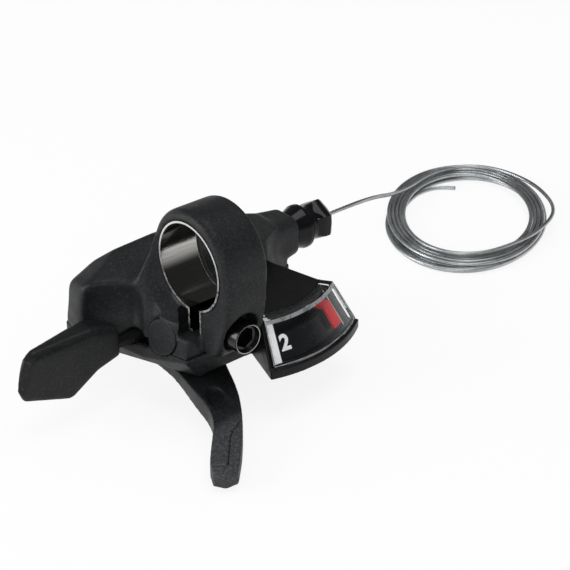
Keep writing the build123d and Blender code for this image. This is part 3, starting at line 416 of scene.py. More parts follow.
class Finish:
    """One material and short ways to add the nodes that it needs."""

    def __init__(self, name):
        self.material = bpy.data.materials.new(name)
        self.material.use_nodes = True
        self.tree = self.material.node_tree
        self.shader = self.tree.nodes["Principled BSDF"]
        self.place = self.tree.nodes.new("ShaderNodeTexCoord").outputs["Object"]

    def set(self, **values):
        """Set constant values on the shader's own sockets, by names with underscores for spaces."""
        for name, value in values.items():
            self.shader.inputs[name.replace("_", " ")].default_value = value

    def link(self, value, socket):
        """Let a value drive a socket of the shader."""
        self.tree.links.new(value, self.shader.inputs[socket])

    def noise(self, scale, detail=3.0, stretch=(1.0, 1.0, 1.0)):
        """Noise with a number of features in each metre, drawn out along an axis by a small stretch value."""
        mapping = self.tree.nodes.new("ShaderNodeMapping")
        mapping.inputs["Scale"].default_value = stretch
        self.tree.links.new(self.place, mapping.inputs["Vector"])
        texture = self.tree.nodes.new("ShaderNodeTexNoise")
        texture.inputs["Scale"].default_value = scale
        texture.inputs["Detail"].default_value = detail
        self.tree.links.new(mapping.outputs["Vector"], texture.inputs["Vector"])
        return texture.outputs["Fac"]

    def cells(self, scale):
        """Distance to the nearest of many scattered points."""
        texture = self.tree.nodes.new("ShaderNodeTexVoronoi")
        texture.inputs["Scale"].default_value = scale
        self.tree.links.new(self.place, texture.inputs["Vector"])
        return texture.outputs["Distance"]

    def along(self, axis):
        """Place along an axis of the object, in metres."""
        return axis_value(self.tree, self.place, axis)

    def distance(self, axis):
        """Distance from the origin along an axis, in metres."""
        return math_value(self.tree, "ABSOLUTE", self.along(axis))

    def ramp(self, value, limits, start=0.0, end=1.0):
        """Value between two limits, stretched to run from a start to an end."""
        return ramp_value(self.tree, value, limits, start, end)

    def times(self, first, second):
        """Product of two values."""
        return math_value(self.tree, "MULTIPLY", first, second)

    def edges(self, limits):
        """Where the surface bends sharply outwards."""
        geometry = self.tree.nodes.new("ShaderNodeNewGeometry")
        return self.ramp(geometry.outputs["Pointiness"], limits)

    def specks(self, scale, size, patch_scale, patch, amount):
        """Scattered specks, within patches only."""
        dots = self.ramp(self.cells(scale), size)
        return self.times(dots, self.ramp(self.noise(patch_scale), patch, end=amount))

    def mix(self, factor, first, second):
        """Colour between two, each a plain colour or another colour's output."""
        node = self.tree.nodes.new("ShaderNodeMix")
        node.data_type = "RGBA"
        self.tree.links.new(factor, node.inputs["Factor"])
        for colour, place in ((first, MIX_FIRST_COLOUR), (second, MIX_SECOND_COLOUR)):
            plain = not isinstance(colour, bpy.types.NodeSocket)
            feed(self.tree, (*colour, 1.0) if plain else colour, node.inputs[place])
        return node.outputs[MIX_COLOUR_RESULT]

    def tones(self, pattern, limits, colour, low, high):
        """A colour shaded by one factor where a pattern is low and by another where it is high."""
        return self.mix(self.ramp(pattern, limits), shade(colour, low), shade(colour, high))

    def bump(self, height, strength, depth):
        """Fine relief from a height, with its depth in metres."""
        node = self.tree.nodes.new("ShaderNodeBump")
        node.inputs["Strength"].default_value = strength
        node.inputs["Distance"].default_value = depth
        self.tree.links.new(height, node.inputs["Height"])
        self.link(node.outputs["Normal"], "Normal")

    def let_light_through(self):
        """Let lamps and scattered light pass straight through, so that what lies behind is lit."""
        path = self.tree.nodes.new("ShaderNodeLightPath").outputs
        either = math_value(self.tree, "MAXIMUM", path["Is Shadow Ray"], path["Is Diffuse Ray"])
        clear = self.tree.nodes.new("ShaderNodeBsdfTransparent")
        blend_surfaces(self.tree, either, self.shader.outputs["BSDF"], clear.outputs["BSDF"])


def moulded_plastic(name, colour, roughness, grain, specular=0.5, dust=0.5, wear=0.5, rubbed=None):
    """Moulded plastic: fine grain, cloudy tone, dust and worn edges, rubbed pale past a distance along Y."""
    finish = Finish(name)
    cloud = finish.noise(scale=90.0, detail=4.0)
    grains = finish.noise(scale=1700.0)
    tone = finish.tones(cloud, (0.35, 0.65), colour, low=0.8, high=1.25)
    tone = finish.mix(finish.ramp(grains, (0.48, 0.72), end=0.7), tone, shade(colour, 3.2))
    if rubbed:
        patchy = finish.ramp(grains, (0.35, 0.7), start=0.3)
        pale = finish.times(finish.ramp(finish.distance("Y"), rubbed), patchy)
        tone = finish.mix(pale, tone, shade(colour, 9.0))
    specks = finish.specks(scale=620.0, size=(0.10, 0.045), patch_scale=230.0, patch=(0.56, 0.66), amount=dust)
    tone = finish.mix(specks, tone, DUST)
    worn = finish.times(finish.edges((0.52, 0.60)), finish.ramp(cloud, MIDDLE, start=0.2, end=wear))
    finish.link(finish.mix(worn, tone, shade(colour, 5.0)), "Base Color")
    sheen = finish.noise(scale=340.0, detail=4.0)
    finish.link(finish.ramp(sheen, MIDDLE, roughness - 0.06, roughness + 0.08), "Roughness")
    finish.set(Specular_IOR_Level=specular)
    finish.bump(grains, strength=grain, depth=0.00012)
    return finish.material


def painted_edge_highlight(name):
    """Painted highlight for the edges of a clear moulding: pale and partly clear, with bright and dull stretches."""
    finish = Finish(name)
    glint = finish.noise(scale=380.0, detail=4.0)
    # Pale colour painted as highlight, bright and dull by turns
    finish.link(finish.mix(finish.ramp(glint, MIDDLE), DULL_EDGE_HIGHLIGHT, BRIGHT_EDGE_HIGHLIGHT), "Base Color")
    finish.link(finish.ramp(glint, MIDDLE, start=0.15, end=0.45), "Roughness")
    finish.set(Transmission_Weight=0.55, IOR=1.3)
    finish.bump(glint, strength=0.2, depth=0.00008)
    return finish.material


def polished_plastic(name, colour, roughness, specular):
    """Glossy plastic with faint swirls and fine dust."""
    finish = Finish(name)
    swirl = finish.noise(scale=260.0, detail=5.0)
    specks = finish.specks(scale=900.0, size=(0.09, 0.04), patch_scale=300.0, patch=(0.58, 0.68), amount=0.35)
    tone = finish.tones(swirl, MIDDLE, colour, low=0.85, high=1.2)
    finish.link(finish.mix(specks, tone, FINE_DUST), "Base Color")
    finish.link(finish.ramp(swirl, MIDDLE, roughness * 0.7, roughness * 1.5), "Roughness")
    finish.set(Specular_IOR_Level=specular)
    finish.bump(finish.noise(scale=700.0, detail=2.0), strength=0.05, depth=0.00005)
    return finish.material


def brushed_steel(name, colour, roughness, stretch):
    """Steel with fine scratches drawn out along one axis and a few darker stains."""
    finish = Finish(name)
    lines = finish.noise(scale=2400.0, detail=4.0, stretch=stretch)
    stain = finish.noise(scale=140.0, detail=4.0)
    tone = finish.tones(lines, MIDDLE, colour, low=0.72, high=1.12)
    tone = finish.mix(finish.ramp(stain, (0.55, 0.75), end=0.45), tone, shade(colour, 0.5))
    finish.link(tone, "Base Color")
    finish.link(finish.ramp(lines, MIDDLE, roughness * 0.7, roughness * 1.4), "Roughness")
    finish.set(Metallic=1.0)
    finish.bump(lines, strength=0.12, depth=0.00004)
    return finish.material


def liner_steel(name, colour):
    """Rolled steel strip: scratched along the bar, darker low down, with a pale sheared edge at both rims."""
    finish = Finish(name)
    lines = finish.noise(scale=2400.0, detail=4.0, stretch=BRUSHED_ALONG_BAR)
    patchy = finish.ramp(finish.noise(scale=700.0, detail=4.0), (0.3, 0.65), start=0.25, end=0.9)
    rim = finish.times(finish.ramp(finish.distance("X"), LINER_RIM), patchy)
    tone = finish.tones(lines, MIDDLE, colour, low=0.75, high=1.1)
    # Darker towards the bottom, nearly black at the lowest part
    tone = finish.mix(finish.ramp(finish.along("Z"), LINER_DARKENING, end=0.9), tone, LINER_LOW_TONE)
    finish.link(finish.mix(rim, tone, SHEARED_STEEL), "Base Color")
    finish.link(finish.ramp(rim, (0.0, 1.0), start=1.0, end=0.4), "Metallic")
    finish.link(finish.ramp(rim, (0.0, 1.0), start=0.13, end=0.4), "Roughness")
    finish.bump(lines, strength=0.08, depth=0.00003)
    return finish.material


def blackened_steel(name, colour):
    """Black oxide steel, rubbed bright along its edges."""
    finish = Finish(name)
    patch = finish.noise(scale=420.0, detail=4.0)
    worn = finish.times(finish.edges((0.52, 0.58)), finish.ramp(patch, (0.3, 0.6), start=0.35))
    finish.link(finish.mix(worn, colour, BARE_STEEL), "Base Color")
    finish.link(finish.ramp(patch, MIDDLE, start=0.16, end=0.3), "Roughness")
    finish.set(Metallic=0.6)
    finish.bump(finish.noise(scale=1500.0, detail=2.0), strength=0.08, depth=0.00005)
    return finish.material


def clear_plastic(name):
    """Clear window plastic with hairline scratches and a little haze."""
    finish = Finish(name)
    haze = finish.noise(scale=500.0, detail=4.0, stretch=HAZE_STRETCH)
    finish.link(finish.ramp(haze, (0.45, 0.8), end=0.10), "Roughness")
    finish.set(Base_Color=WINDOW_COLOUR, Transmission_Weight=1.0, IOR=1.49, Specular_Tint=WINDOW_TINT)
    finish.bump(haze, strength=0.03, depth=0.00004)
    finish.let_light_through()
    return finish.material


def cable_wire(name, colour):
    """Galvanised wires with bright and dull patches and specks of grime along the way."""
    finish = Finish(name)
    patch = finish.noise(scale=75.0, detail=4.0)
    grime = finish.noise(scale=900.0)
    tone = finish.tones(patch, (0.35, 0.65), colour, low=0.8, high=1.2)
    tone = finish.mix(finish.ramp(grime, (0.5, 0.75), end=0.5), tone, shade(colour, 0.45))
    finish.link(tone, "Base Color")
    finish.link(finish.ramp(patch, MIDDLE, start=0.26, end=0.4), "Roughness")
    finish.set(Metallic=1.0)
    finish.bump(grime, strength=0.1, depth=0.00004)
    return finish.material


def printed_paint(name, colour):
    """Printed paint with a slightly uneven film."""
    finish = Finish(name)
    film = finish.noise(scale=1200.0)
    finish.link(finish.tones(film, (0.3, 0.75), colour, low=1.0, high=0.88), "Base Color")
    finish.link(finish.ramp(film, MIDDLE, start=0.35, end=0.5), "Roughness")
    finish.bump(film, strength=0.05, depth=0.00003)
    return finish.material


# Mouldings


def helper(name, mesh):
    """Linked object that only lends its mesh to a modifier."""
    holder = bpy.data.objects.new(name, mesh)
    bpy.context.scene.collection.objects.link(holder)
    return holder


def discard(holder):
    """Take a helper and its mesh away."""
    mesh = holder.data
    bpy.data.objects.remove(holder)
    bpy.data.meshes.remove(mesh)


def modified(holder, steps):
    """Mesh of a helper after modifiers, each given by its kind and its settings; the helper goes."""
    for kind, settings in steps:
        modifier = holder.modifiers.new(kind, kind)
        for name, value in settings.items():
            setattr(modifier, name, value)
    mesh = bpy.data.meshes.new_from_object(holder.evaluated_get(bpy.context.evaluated_depsgraph_get()))
    discard(holder)
    return mesh


def softened(node, voxel, rounds, keep, filled=(), cut=(), eased=()):
    """Mesh of a CAD node with its edges eased, as a mould leaves them, and more so within the eased places."""
    even = ("REMESH", {"mode": "VOXEL", "voxel_size": voxel})
    steps = [even]
    for operation, shapes in (("UNION", filled), ("DIFFERENCE", cut)):
        for shape in shapes:
            steps += [("BOOLEAN", {"operation": operation, "object": shape, "solver": "MANIFOLD"}), even]
    holder = helper(node, modified(helper(node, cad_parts[node].data.copy()), steps))
    steps = [("SMOOTH", {"factor": SMOOTH_FACTOR, "iterations": rounds})]
    if eased:
        group = holder.vertex_groups.new(name="eased")
        for vertex in holder.data.vertices:
            near = max(1.0 - (vertex.co / MM - Vector(place)).length / reach for place, reach in eased)
            if near > 0.0:
                group.add([vertex.index], min(1.0, EASED_GAIN * near), "REPLACE")
        further = {"factor": SMOOTH_FACTOR, "iterations": EASED_ROUNDS * rounds, "vertex_group": "eased"}
        steps.append(("SMOOTH", further))
    if keep < 1.0:
        steps.append(("DECIMATE", {"ratio": keep}))
    mesh = modified(holder, steps)
    mesh.name = node
    smooth_faces(mesh)
    return mesh


def clamp_flare():
    """Cone that opens the housing's wall outboard of the clamp ring's rim."""
    shape = bmesh.new()
    turn = Matrix.Rotation(math.radians(-90.0), 4, "Y")
    middle = Matrix.Translation(metres((RING_FACE - FLARE_REACH / 2, 0.0, 0.0)))
    bmesh.ops.create_cone(
        shape, cap_ends=True, segments=FLARE_SIDES, radius1=FLARE_RADIUS * MM,
        radius2=(FLARE_RADIUS + FLARE_SLOPE * FLARE_REACH) * MM, depth=FLARE_REACH * MM, matrix=middle @ turn,
    )
    return helper("clamp_flare", mesh_of(shape, "clamp_flare"))


def wall_strip():
    """Strip of the outboard wall between the cable port's plug and the nut's notch."""
    shape = bmesh.new()
    low, high = WALL_STRIP_LEVELS
    rings = []
    for level in (low, high):
        lean = WALL_SLOPE * (level - (low + high) / 2)
        rings.append([shape.verts.new(metres((x + lean * share, y, level))) for x, y, share in WALL_STRIP])
    shape.faces.new(rings[0])
    shape.faces.new(rings[1])
    bridge(shape, *rings)
    bmesh.ops.recalc_face_normals(shape, faces=shape.faces)
    return helper("wall_strip", mesh_of(shape, "wall_strip"))


# Turned pieces


def turned(name, profile, placed, closed=False, rim=()):
    """Mesh turned from a profile; placed gives a point from its place along the axis and two offsets."""
    shape = bmesh.new()
    half_side = math.pi / 6
    rings = []
    for place, radius, hexagon in profile:
        ring = []
        for step in range(TURNED_SIDES):
            turn = math.tau * step / TURNED_SIDES
            corner = 1.0 / math.cos((turn + half_side) % (2 * half_side) - half_side)
            reach = radius * (1.0 + hexagon * (corner - 1.0))
            ring.append(shape.verts.new(metres(placed(place, reach * math.cos(turn), reach * math.sin(turn)))))
        rings.append(ring)
    following = rings[1:] + rings[:1] if closed else rings[1:]
    for band, (first, second) in enumerate(zip(rings, following)):
        for face in bridge(shape, first, second):
            face.material_index = 1 if band in rim else 0
    if not closed:
        shape.faces.new(rings[0])
        shape.faces.new(rings[-1])
    bmesh.ops.recalc_face_normals(shape, faces=shape.faces)
    mesh = mesh_of(shape, name)
    mesh.set_sharp_from_angle(angle=SHARP_ANGLE)
    return mesh


def bolt_point(place, aside, up):
    """Point of the clamp bolt, along Y."""
    return BOLT_AXIS[0] + aside, place, BOLT_AXIS[1] + up


def knob_point(place, aside, up):
    """Point of the adjuster's knob, along X."""
    return place, KNOB_AXIS[0] + aside, KNOB_AXIS[1] + up


# Cable


def coil_point(angle, reach, level):
    """Point of the coil at an angle, with a reach beyond its middle line; each layer lies a little askew."""
    lower = min(1.0, max(0.0, (UPPER_LAYER - level) / (UPPER_LAYER - LOWER_LAYER)))
    tilt = math.radians(COIL_TURN + UPPER_TILT + (LOWER_TILT - UPPER_TILT) * lower)
    along = (COIL_HALF_AXES[0] + COIL_SPREAD[0] * reach) * math.cos(math.radians(angle))
    across = (COIL_HALF_AXES[1] + COIL_SPREAD[1] * reach) * math.sin(math.radians(angle))
    shift = [upper + (low - upper) * lower for upper, low in zip(UPPER_SHIFT, LOWER_SHIFT)]
    return (
        COIL_CENTER[0] + along * math.cos(tilt) - across * math.sin(tilt) + shift[0],
        COIL_CENTER[1] + along * math.sin(tilt) + across * math.cos(tilt) + shift[1],
        level,
    )


def coil_points():
    """Control points of the coil: a free loop on top, then out along the upper layer and back in along the lower."""
    turns = [(reach, UPPER_LAYER) for reach in UPPER_REACH] + [(reach, LOWER_LAYER) for reach in LOWER_REACH]
    points = []
    for step in range(len(turns) * COIL_POINTS_PER_TURN + 1):
        turn, part = divmod(step, COIL_POINTS_PER_TURN)
        share = part / COIL_POINTS_PER_TURN
        if turn == 0:
            reach = FREE_LOOP_REACH[part]
            fall = max(0.0, share - FREE_LOOP_FALL) / (1.0 - FREE_LOOP_FALL)
            level = FREE_LOOP_LEVEL + (UPPER_LAYER - FREE_LOOP_LEVEL) * fall * fall * (3 - 2 * fall)
        else:
            here, ahead = turns[turn - 1], turns[min(turn, len(turns) - 1)]
            reach = here[0] + (ahead[0] - here[0]) * share
            level = here[1] + (ahead[1] - here[1]) * share
        points.append(coil_point(COIL_START - 360.0 * share, reach, level))
    for angle, reach in CUT_END:
        points.append(coil_point(angle, reach, LOWER_LAYER))
    return points


def smooth_line(points):
    """Points along the smooth line that a list of control points guides."""
    curve = bpy.data.curves.new("route", "CURVE")
    curve.dimensions = "3D"
    curve.resolution_u = ROUTE_RESOLUTION
    spline = curve.splines.new("NURBS")
    spline.points.add(len(points) - 1)
    for target, point in zip(spline.points, points):
        target.co = (*metres(point), 1.0)
    spline.order_u = 3
    spline.use_endpoint_u = True
    holder = bpy.data.objects.new("route", curve)
    mesh = bpy.data.meshes.new_from_object(holder)
    line = [vertex.co.copy() for vertex in mesh.vertices]
    bpy.data.objects.remove(holder)
    bpy.data.curves.remove(curve)
    bpy.data.meshes.remove(mesh)
    return line


def stranded_tube(line, radius):
    """Tube along a line with the grooves of wires that twist round it."""
    heights = [radius * (1.0 - WIRE_GROOVE), radius, radius]
    around = len(heights) * WIRE_COUNT
    side = Vector((0.0, 0.0, 1.0)).cross(line[1] - line[0]).normalized()
    twist = 0.0
    shape = bmesh.new()
    rings = []
    for place, point in enumerate(line):
        before, after = line[max(place - 1, 0)], line[min(place + 1, len(line) - 1)]
        run = (after - before).normalized()
        side = (side - run * side.dot(run)).normalized()
        up = run.cross(side)
        if place:
            twist += math.tau * (point - line[place - 1]).length / (WIRE_LAY * MM)
        ring = []
        for step in range(around):
            turn = math.tau * step / around + twist
            offset = side * math.cos(turn) + up * math.sin(turn)
            ring.append(shape.verts.new(point + offset * heights[step % len(heights)]))
        rings.append(ring)
    for first, second in zip(rings, rings[1:]):
        bridge(shape, first, second)
    shape.faces.new(list(reversed(rings[0])))
    shape.faces.new(rings[-1])
    mesh = mesh_of(shape, "inner_cable")
    smooth_faces(mesh)
    return mesh


# Gear indicator


def dial_point(angle, height, proud):
    """Point at an angle in degrees and a height in millimetres, at a distance in front of the dial's face."""
    radius = WINDOW_TOP_RADIUS + WINDOW_LEAN * (WINDOW_TOP - height) - (DIAL_DEPTH - proud) * WINDOW_SLOPE
    turn = math.radians(angle)
    return metres((
        NEEDLE_PIVOT[0] + radius * math.cos(turn), NEEDLE_PIVOT[1] + radius * math.sin(turn), height,
    ))


def dial_patches(patches):
    """Curved slabs parallel to the dial, each between two angles, two heights and two distances from its face."""
    shape = bmesh.new()
    for start, end, top, bottom, under, over in patches:
        corners = ((top, under), (top, over), (bottom, over), (bottom, under))
        rows = []
        for step in range(PATCH_STEPS + 1):
            angle = start + (end - start) * step / PATCH_STEPS
            rows.append([shape.verts.new(dial_point(angle, height, proud)) for height, proud in corners])
        for first, second in zip(rows, rows[1:]):
            for corner in range(len(corners)):
                ahead = (corner + 1) % len(corners)
                shape.faces.new((first[corner], second[corner], second[ahead], first[ahead]))
        shape.faces.new(rows[0])
        shape.faces.new(list(reversed(rows[-1])))
    bmesh.ops.recalc_face_normals(shape, faces=shape.faces)
    return mesh_of(shape, "dial_patches")


def window_rim():
    """Strips of painted highlight on the window's edges: along its top, its foot and its ends, with fine ribs at the
    inboard end.
    """
    under, over = RIM_FACES
    ribs = []
    for rib in range(RIB_COUNT):
        top = RIB_TOP - rib * RIB_PITCH
        ribs.append((*RIB_ANGLES, top, top - RIB_SHARE * RIB_PITCH, under, over + RIB_PROUD))
    return dial_patches(RIM_PATCHES + ribs)


def dial_numeral(text, angle, middle, height, boldness):
    """Printed numeral bent onto the dial, centred at an angle and a height in millimetres."""
    font = bpy.data.curves.new("numeral", "FONT")
    font.body = text
    font.align_x = "CENTER"
    font.align_y = "CENTER"
    font.size = 1.0
    font.resolution_u = NUMERAL_RESOLUTION
    font.extrude = NUMERAL_THICKNESS
    font.offset = boldness
    holder = bpy.data.objects.new("numeral", font)
    mesh = bpy.data.meshes.new_from_object(holder)
    bpy.data.objects.remove(holder)
    bpy.data.curves.remove(font)
    shape = bmesh.new()
    shape.from_mesh(mesh)
    bmesh.ops.subdivide_edges(shape, edges=shape.edges, cuts=1, use_grid_fill=False)
    levels = [vertex.co.y for vertex in shape.verts]
    size = height / (max(levels) - min(levels))
    reach = (dial_point(angle, middle, 0.0) / MM - Vector((*NEEDLE_PIVOT, middle))).length
    for vertex in shape.verts:
        aside = math.degrees(vertex.co.x * size / reach)
        proud = PRINT_PROUD if vertex.co.z > 0 else 0.0
        vertex.co = dial_point(angle + aside, middle + vertex.co.y * size / WINDOW_SLOPE, proud)
    shape.to_mesh(mesh)
    shape.free()
    return mesh


# Operators


class SHIFTER_OT_cable(bpy.types.Operator):
    """Lay the stranded cable from the adjuster to its loose coil"""

    bl_idname = "shifter.cable"
    bl_label = "Cable"

    def execute(self, context):
        sizes = context.scene.shifter_sizes
        line = smooth_line(LEAD_ROUTE + coil_points())
        material = cable_wire("galvanised_wire", context.scene.shifter_colours.cable)
        mesh = stranded_tube(line, sizes.cable_diameter / 2)
        cable = add_piece("inner_cable", mesh, "housing", material, ("cable_lead", "cable_coil"))
        dress(material, "cable_inner")
        return {"FINISHED"}


class SHIFTER_OT_housing(bpy.types.Operator):
    """Ease the mouldings of the housing and the indicator and give them their finishes"""

    bl_idname = "shifter.housing"
    bl_label = "Housing"

    def execute(self, context):
        sizes, colours = context.scene.shifter_sizes, context.scene.shifter_colours
        grained = moulded_plastic("housing_plastic", colours.housing, roughness=0.5, grain=0.45, specular=0.24)
        smooth = moulded_plastic(
            "indicator_plastic", colours.indicator, roughness=0.36, grain=0.15, specular=0.2, wear=0.25,
        )
        strip, flare = wall_strip(), clamp_flare()
        mesh = softened(
            "bracket", sizes.mould_voxel, sizes.mould_rounds, BRACKET_KEEP,
            filled=[strip], cut=[flare], eased=EASED_PLACES,
        )
        add_piece("bracket_moulding", mesh, "housing", grained, ("bracket",))
        discard(strip)
        discard(flare)
        for node, material, fineness, keep in (
            ("lower_cover", grained, 0.9, 0.6), ("cable_port_plug", grained, 0.5, 1.0),
            ("indicator_top", smooth, 0.6, 0.8), ("indicator_base", smooth, 0.6, 0.8),
        ):
            mesh = softened(node, sizes.mould_voxel * fineness, sizes.mould_rounds, keep)
            add_piece(node + "_moulding", mesh, "housing", material, (node,))
        return {"FINISHED"}


class SHIFTER_OT_levers(bpy.types.Operator):
    """Ease the thumb lever, its cap and the trigger and give them their satin finish"""

    bl_idname = "shifter.levers"
    bl_label = "Levers"

    def execute(self, context):
        sizes, colours = context.scene.shifter_sizes, context.scene.shifter_colours
        satin = moulded_plastic("lever_plastic", colours.levers, roughness=0.42, grain=0.25, specular=0.26)
        rubbed = moulded_plastic(
            "thumb_plastic", colours.levers, roughness=0.45, grain=0.35, specular=0.26, rubbed=THUMB_RUBBED,
        )
        rubber = moulded_plastic(
            "cap_rubber", colours.tip_cap, roughness=0.6, grain=0.5, specular=0.35, dust=0.7,
        )
        for node, body, slot, material, rounds in (
            ("thumb_lever", "main_lever", "lever_plastic", rubbed, 12),
            ("thumb_lever_cap", "main_lever", "grip_rubber", rubber, 12),
            ("trigger_lever", "release_trigger", "lever_plastic", satin, 30),
        ):
            mesh = softened(node, sizes.mould_voxel * LEVER_FINENESS, rounds, LEVER_KEEP)
            add_piece(node + "_moulding", mesh, body, material, (node,))
        return {"FINISHED"}


class SHIFTER_OT_clamp(bpy.types.Operator):
    """Finish the clamp's liner and the cover's screws, and turn the clamp's bolt"""

    bl_idname = "shifter.clamp"
    bl_label = "Clamp"

    def execute(self, context):
        colours = context.scene.shifter_colours
        dress(liner_steel("liner_steel", shade(colours.steel, 1.15)), "clamp_liner")
        dress(blackened_steel("screw_steel", SCREW_BLACK), "cover_screws")
        black = polished_plastic("bolt_black", BOLT_BLACK, roughness=0.2, specular=0.4)
        bright = brushed_steel(
            "bolt_rim_steel", shade(colours.steel, 0.8), roughness=0.35, stretch=BRUSHED_ACROSS,
        )
        mesh = turned("clamp_bolt", BOLT_PROFILE, bolt_point, rim=BOLT_RIM)
        bolt = add_piece("clamp_bolt_turned", mesh, "housing", black, ("clamp_bolt",))
        bolt.data.materials.append(bright)
        return {"FINISHED"}


class SHIFTER_OT_indicator(bpy.types.Operator):
    """Finish the window, the dial and the needle, print the dial, and add its shroud and the window's rim of painted
    highlight
    """

    bl_idname = "shifter.indicator"
    bl_label = "Gear Indicator"

    def execute(self, context):
        sizes, colours = context.scene.shifter_sizes, context.scene.shifter_colours
        dress(clear_plastic("window_plastic"), "indicator_lens")
        gloss = polished_plastic("dial_gloss", colours.dial, roughness=0.2, specular=0.25)
        dress(gloss, "dial_plate")
        dress(polished_plastic("needle_red", colours.needle, roughness=0.4, specular=0.08), "needle")
        paint = printed_paint("dial_print", colours.print_white)
        for name, text, angle, middle, share, boldness in NUMERALS:
            mesh = dial_numeral(text, angle, middle, share * sizes.numeral_height / MM, boldness)
            add_piece(name, mesh, "housing", paint)
        add_piece("print_outboard_band", dial_patches([OUTBOARD_BAND]), "housing", paint)
        add_piece("print_inboard_band", dial_patches([INBOARD_BAND]), "housing", paint)
        add_piece("dial_shroud", dial_patches(SHROUD_PATCHES), "housing", gloss)
        # The window's rim carries painted highlight along its edges
        add_piece("window_rim", window_rim(), "housing", painted_edge_highlight("window_painted_highlight"))
        return {"FINISHED"}


class SHIFTER_OT_adjuster(bpy.types.Operator):
    """Finish the cable adjuster"""

    bl_idname = "shifter.adjuster"
    bl_label = "Adjuster"

    def execute(self, context):
        colours = context.scene.shifter_colours
        gloss = polished_plastic("adjuster_gloss", colours.adjuster, roughness=0.12, specular=0.22)
        dress(gloss, "adjuster_collar")
        mesh = turned("adjuster_knob", KNOB_PROFILE, knob_point, closed=True)
        add_piece("adjuster_knob_turned", mesh, "adjuster_grip", gloss, ("adjuster_knob",))
        return {"FINISHED"}


class SHIFTER_OT_mechanism(bpy.types.Operator):
    """Finish the ratchet, the winder and what holds them"""

    bl_idname = "shifter.mechanism"
    bl_label = "Mechanism"

    def execute(self, context):
        colours = context.scene.shifter_colours
        plated = brushed_steel(
            "plated_steel", shade(colours.steel, 0.9), roughness=0.35, stretch=BRUSHED_ACROSS,
        )
        dress(
            plated, "clamp_nut", "base_plate", "spindle_bolt", "spindle_washer", "hold_pawl_pin",
            "feed_pawl_pin", "needle_pin", "ratchet_plate", "hold_pawl", "feed_pawl", "drive_plate",
            "cable_nipple",
        )
        painted = moulded_plastic("arm_paint", ARM_BLACK, roughness=0.4, grain=0.1, specular=0.2, wear=0.1)
        dress(painted, "trigger_plate")
        spring = brushed_steel("spring_steel", colours.steel, roughness=0.28, stretch=BRUSHED_UPRIGHT)
        dress(spring, "return_spring")
        dress(moulded_plastic("winder_plastic", WINDER_CREAM, roughness=0.45, grain=0.2, wear=0.0), "winder")
        return {"FINISHED"}


def direction(azimuth, elevation):
    """Unit vector towards a camera at an azimuth and an elevation in degrees."""
    turn, rise = math.radians(azimuth), math.radians(elevation)
    return Vector((math.sin(turn) * math.cos(rise), -math.cos(turn) * math.cos(rise), math.sin(rise)))


def seen_ray(tree, share):
    """A share for rays that show the background: to the camera, in gloss and through clear plastic."""
    path = tree.nodes.new("ShaderNodeLightPath").outputs
    direct = math_value(tree, "MAXIMUM", path["Is Camera Ray"], path["Is Glossy Ray"])
    seen = math_value(tree, "MAXIMUM", direct, path["Is Transmission Ray"])
    return math_value(tree, "MULTIPLY", seen, share)


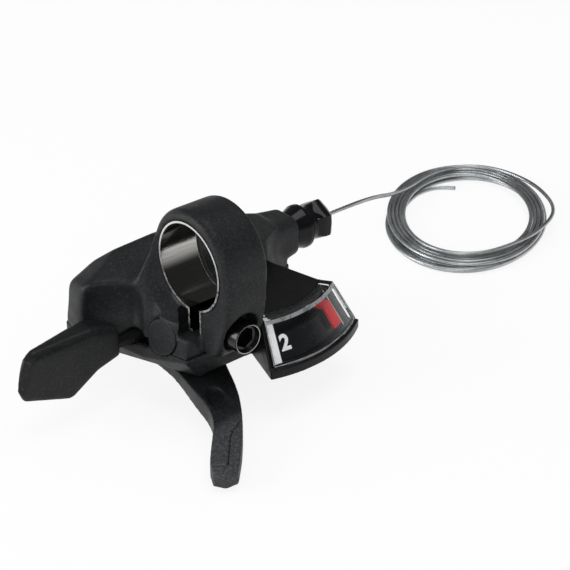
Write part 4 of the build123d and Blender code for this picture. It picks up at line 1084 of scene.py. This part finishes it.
class SHIFTER_OT_stage(bpy.types.Operator):
    """Set up the floor, the soft light and the camera"""

    bl_idname = "shifter.stage"
    bl_label = "Stage"

    def execute(self, context):
        scene = context.scene
        scene.view_settings.view_transform = "Standard"
        self.lay_floor(scene)
        self.light_world(scene)
        self.hang_lamps(scene)
        self.place_camera(scene)
        return {"FINISHED"}

    def lay_floor(self, scene):
        """Pale floor under the lowest point, white to the camera where no shadow falls."""
        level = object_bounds()[0].z
        mesh = bpy.data.meshes.new("floor")
        half = FLOOR_HALF
        corners = [(-half, -half, level), (half, -half, level), (half, half, level), (-half, half, level)]
        mesh.from_pydata(corners, [], [(0, 1, 2, 3)])
        floor = bpy.data.objects.new("floor", mesh)
        scene.collection.objects.link(floor)
        material = bpy.data.materials.new("floor_paper")
        material.use_nodes = True
        tree = material.node_tree
        shader = tree.nodes["Principled BSDF"]
        shader.inputs["Base Color"].default_value = (*scene.shifter_colours.floor, 1.0)
        shader.inputs["Roughness"].default_value = FLOOR_ROUGHNESS
        shader.inputs["Specular IOR Level"].default_value = 0.0
        glow = tree.nodes.new("ShaderNodeEmission")
        glow.inputs["Strength"].default_value = 1.0
        blend_surfaces(tree, seen_ray(tree, FLOOR_SEEN_SHARE), shader.outputs["BSDF"], glow.outputs["Emission"])
        mesh.materials.append(material)
        floor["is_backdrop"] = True

    def light_world(self, scene):
        """Studio round the object: white walls, and a dimmer ceiling."""
        world = bpy.data.worlds.new("studio")
        scene.world = world
        world.use_nodes = True
        tree = world.node_tree
        place = tree.nodes.new("ShaderNodeTexCoord").outputs["Generated"]
        path = tree.nodes.new("ShaderNodeLightPath").outputs
        room = ramp_value(tree, axis_value(tree, place, "Z"), CEILING_RISE, WALL_LIGHT, CEILING_LIGHT)
        light = mixed_value(tree, seen_ray(tree, 1.0), AMBIENT_LIGHT, room)
        strength = mixed_value(tree, path["Is Camera Ray"], light, WALL_LIGHT)
        back = tree.nodes["Background"]
        back.inputs["Color"].default_value = (1.0, 1.0, 1.0, 1.0)
        tree.links.new(strength, back.inputs["Strength"])

    def hang_lamps(self, scene):
        """Soft boxes: one behind on the left, a weaker one in front on the left, and one overhead."""
        for name, place, size, power in LAMPS:
            lamp = bpy.data.lights.new(name, "AREA")
            lamp.shape = "SQUARE"
            lamp.size = size
            lamp.energy = power
            holder = bpy.data.objects.new(name, lamp)
            holder.location = place
            aim = Vector(LAMP_AIM) - Vector(place)
            holder.rotation_euler = aim.to_track_quat("-Z", "Y").to_euler()
            scene.collection.objects.link(holder)

    def place_camera(self, scene):
        """Camera at the reference view."""
        lens = bpy.data.cameras.new("camera")
        lens.lens = CAMERA_LENS
        lens.clip_start = CAMERA_CLIP_START
        holder = bpy.data.objects.new("camera", lens)
        back = direction(*CAMERA_AIM)
        turn = math.radians(CAMERA_AIM[0])
        right = Vector((math.cos(turn), math.sin(turn), 0.0))
        facing = Matrix((right, back.cross(right), back)).transposed().to_4x4()
        holder.matrix_world = Matrix.Translation(direction(*CAMERA_STAND) * CAMERA_DISTANCE) @ facing
        scene.collection.objects.link(holder)
        scene.camera = holder


class SHIFTER_PT_panel(bpy.types.Panel):
    """Steps and settings of the shifter"""

    bl_idname = "SHIFTER_PT_panel"
    bl_label = "Trigger Gear Shifter"
    bl_space_type = "VIEW_3D"
    bl_region_type = "UI"
    bl_category = "Shifter"

    def draw(self, context):
        for operator in STEPS:
            self.layout.operator(operator.bl_idname)
        for group in (context.scene.shifter_sizes, context.scene.shifter_colours):
            box = self.layout.box()
            for name in group.__annotations__:
                box.prop(group, name)


STEPS = (
    SHIFTER_OT_cable, SHIFTER_OT_housing, SHIFTER_OT_levers, SHIFTER_OT_clamp, SHIFTER_OT_indicator,
    SHIFTER_OT_adjuster, SHIFTER_OT_mechanism, SHIFTER_OT_stage,
)
CLASSES = (ShifterSizes, ShifterColours, *STEPS, SHIFTER_PT_panel)


def register():
    """Register the classes and the scene's settings."""
    for item in CLASSES:
        bpy.utils.register_class(item)
    bpy.types.Scene.shifter_sizes = bpy.props.PointerProperty(type=ShifterSizes)
    bpy.types.Scene.shifter_colours = bpy.props.PointerProperty(type=ShifterColours)


def unregister():
    """Take the classes and the settings away."""
    del bpy.types.Scene.shifter_colours
    del bpy.types.Scene.shifter_sizes
    for item in reversed(CLASSES):
        bpy.utils.unregister_class(item)


def main():
    """Dress the shifter step by step."""
    register()
    bpy.ops.shifter.cable()
    bpy.ops.shifter.housing()
    bpy.ops.shifter.levers()
    bpy.ops.shifter.clamp()
    bpy.ops.shifter.indicator()
    bpy.ops.shifter.adjuster()
    bpy.ops.shifter.mechanism()
    bpy.ops.shifter.stage()


if __name__ == "__main__":
    main()
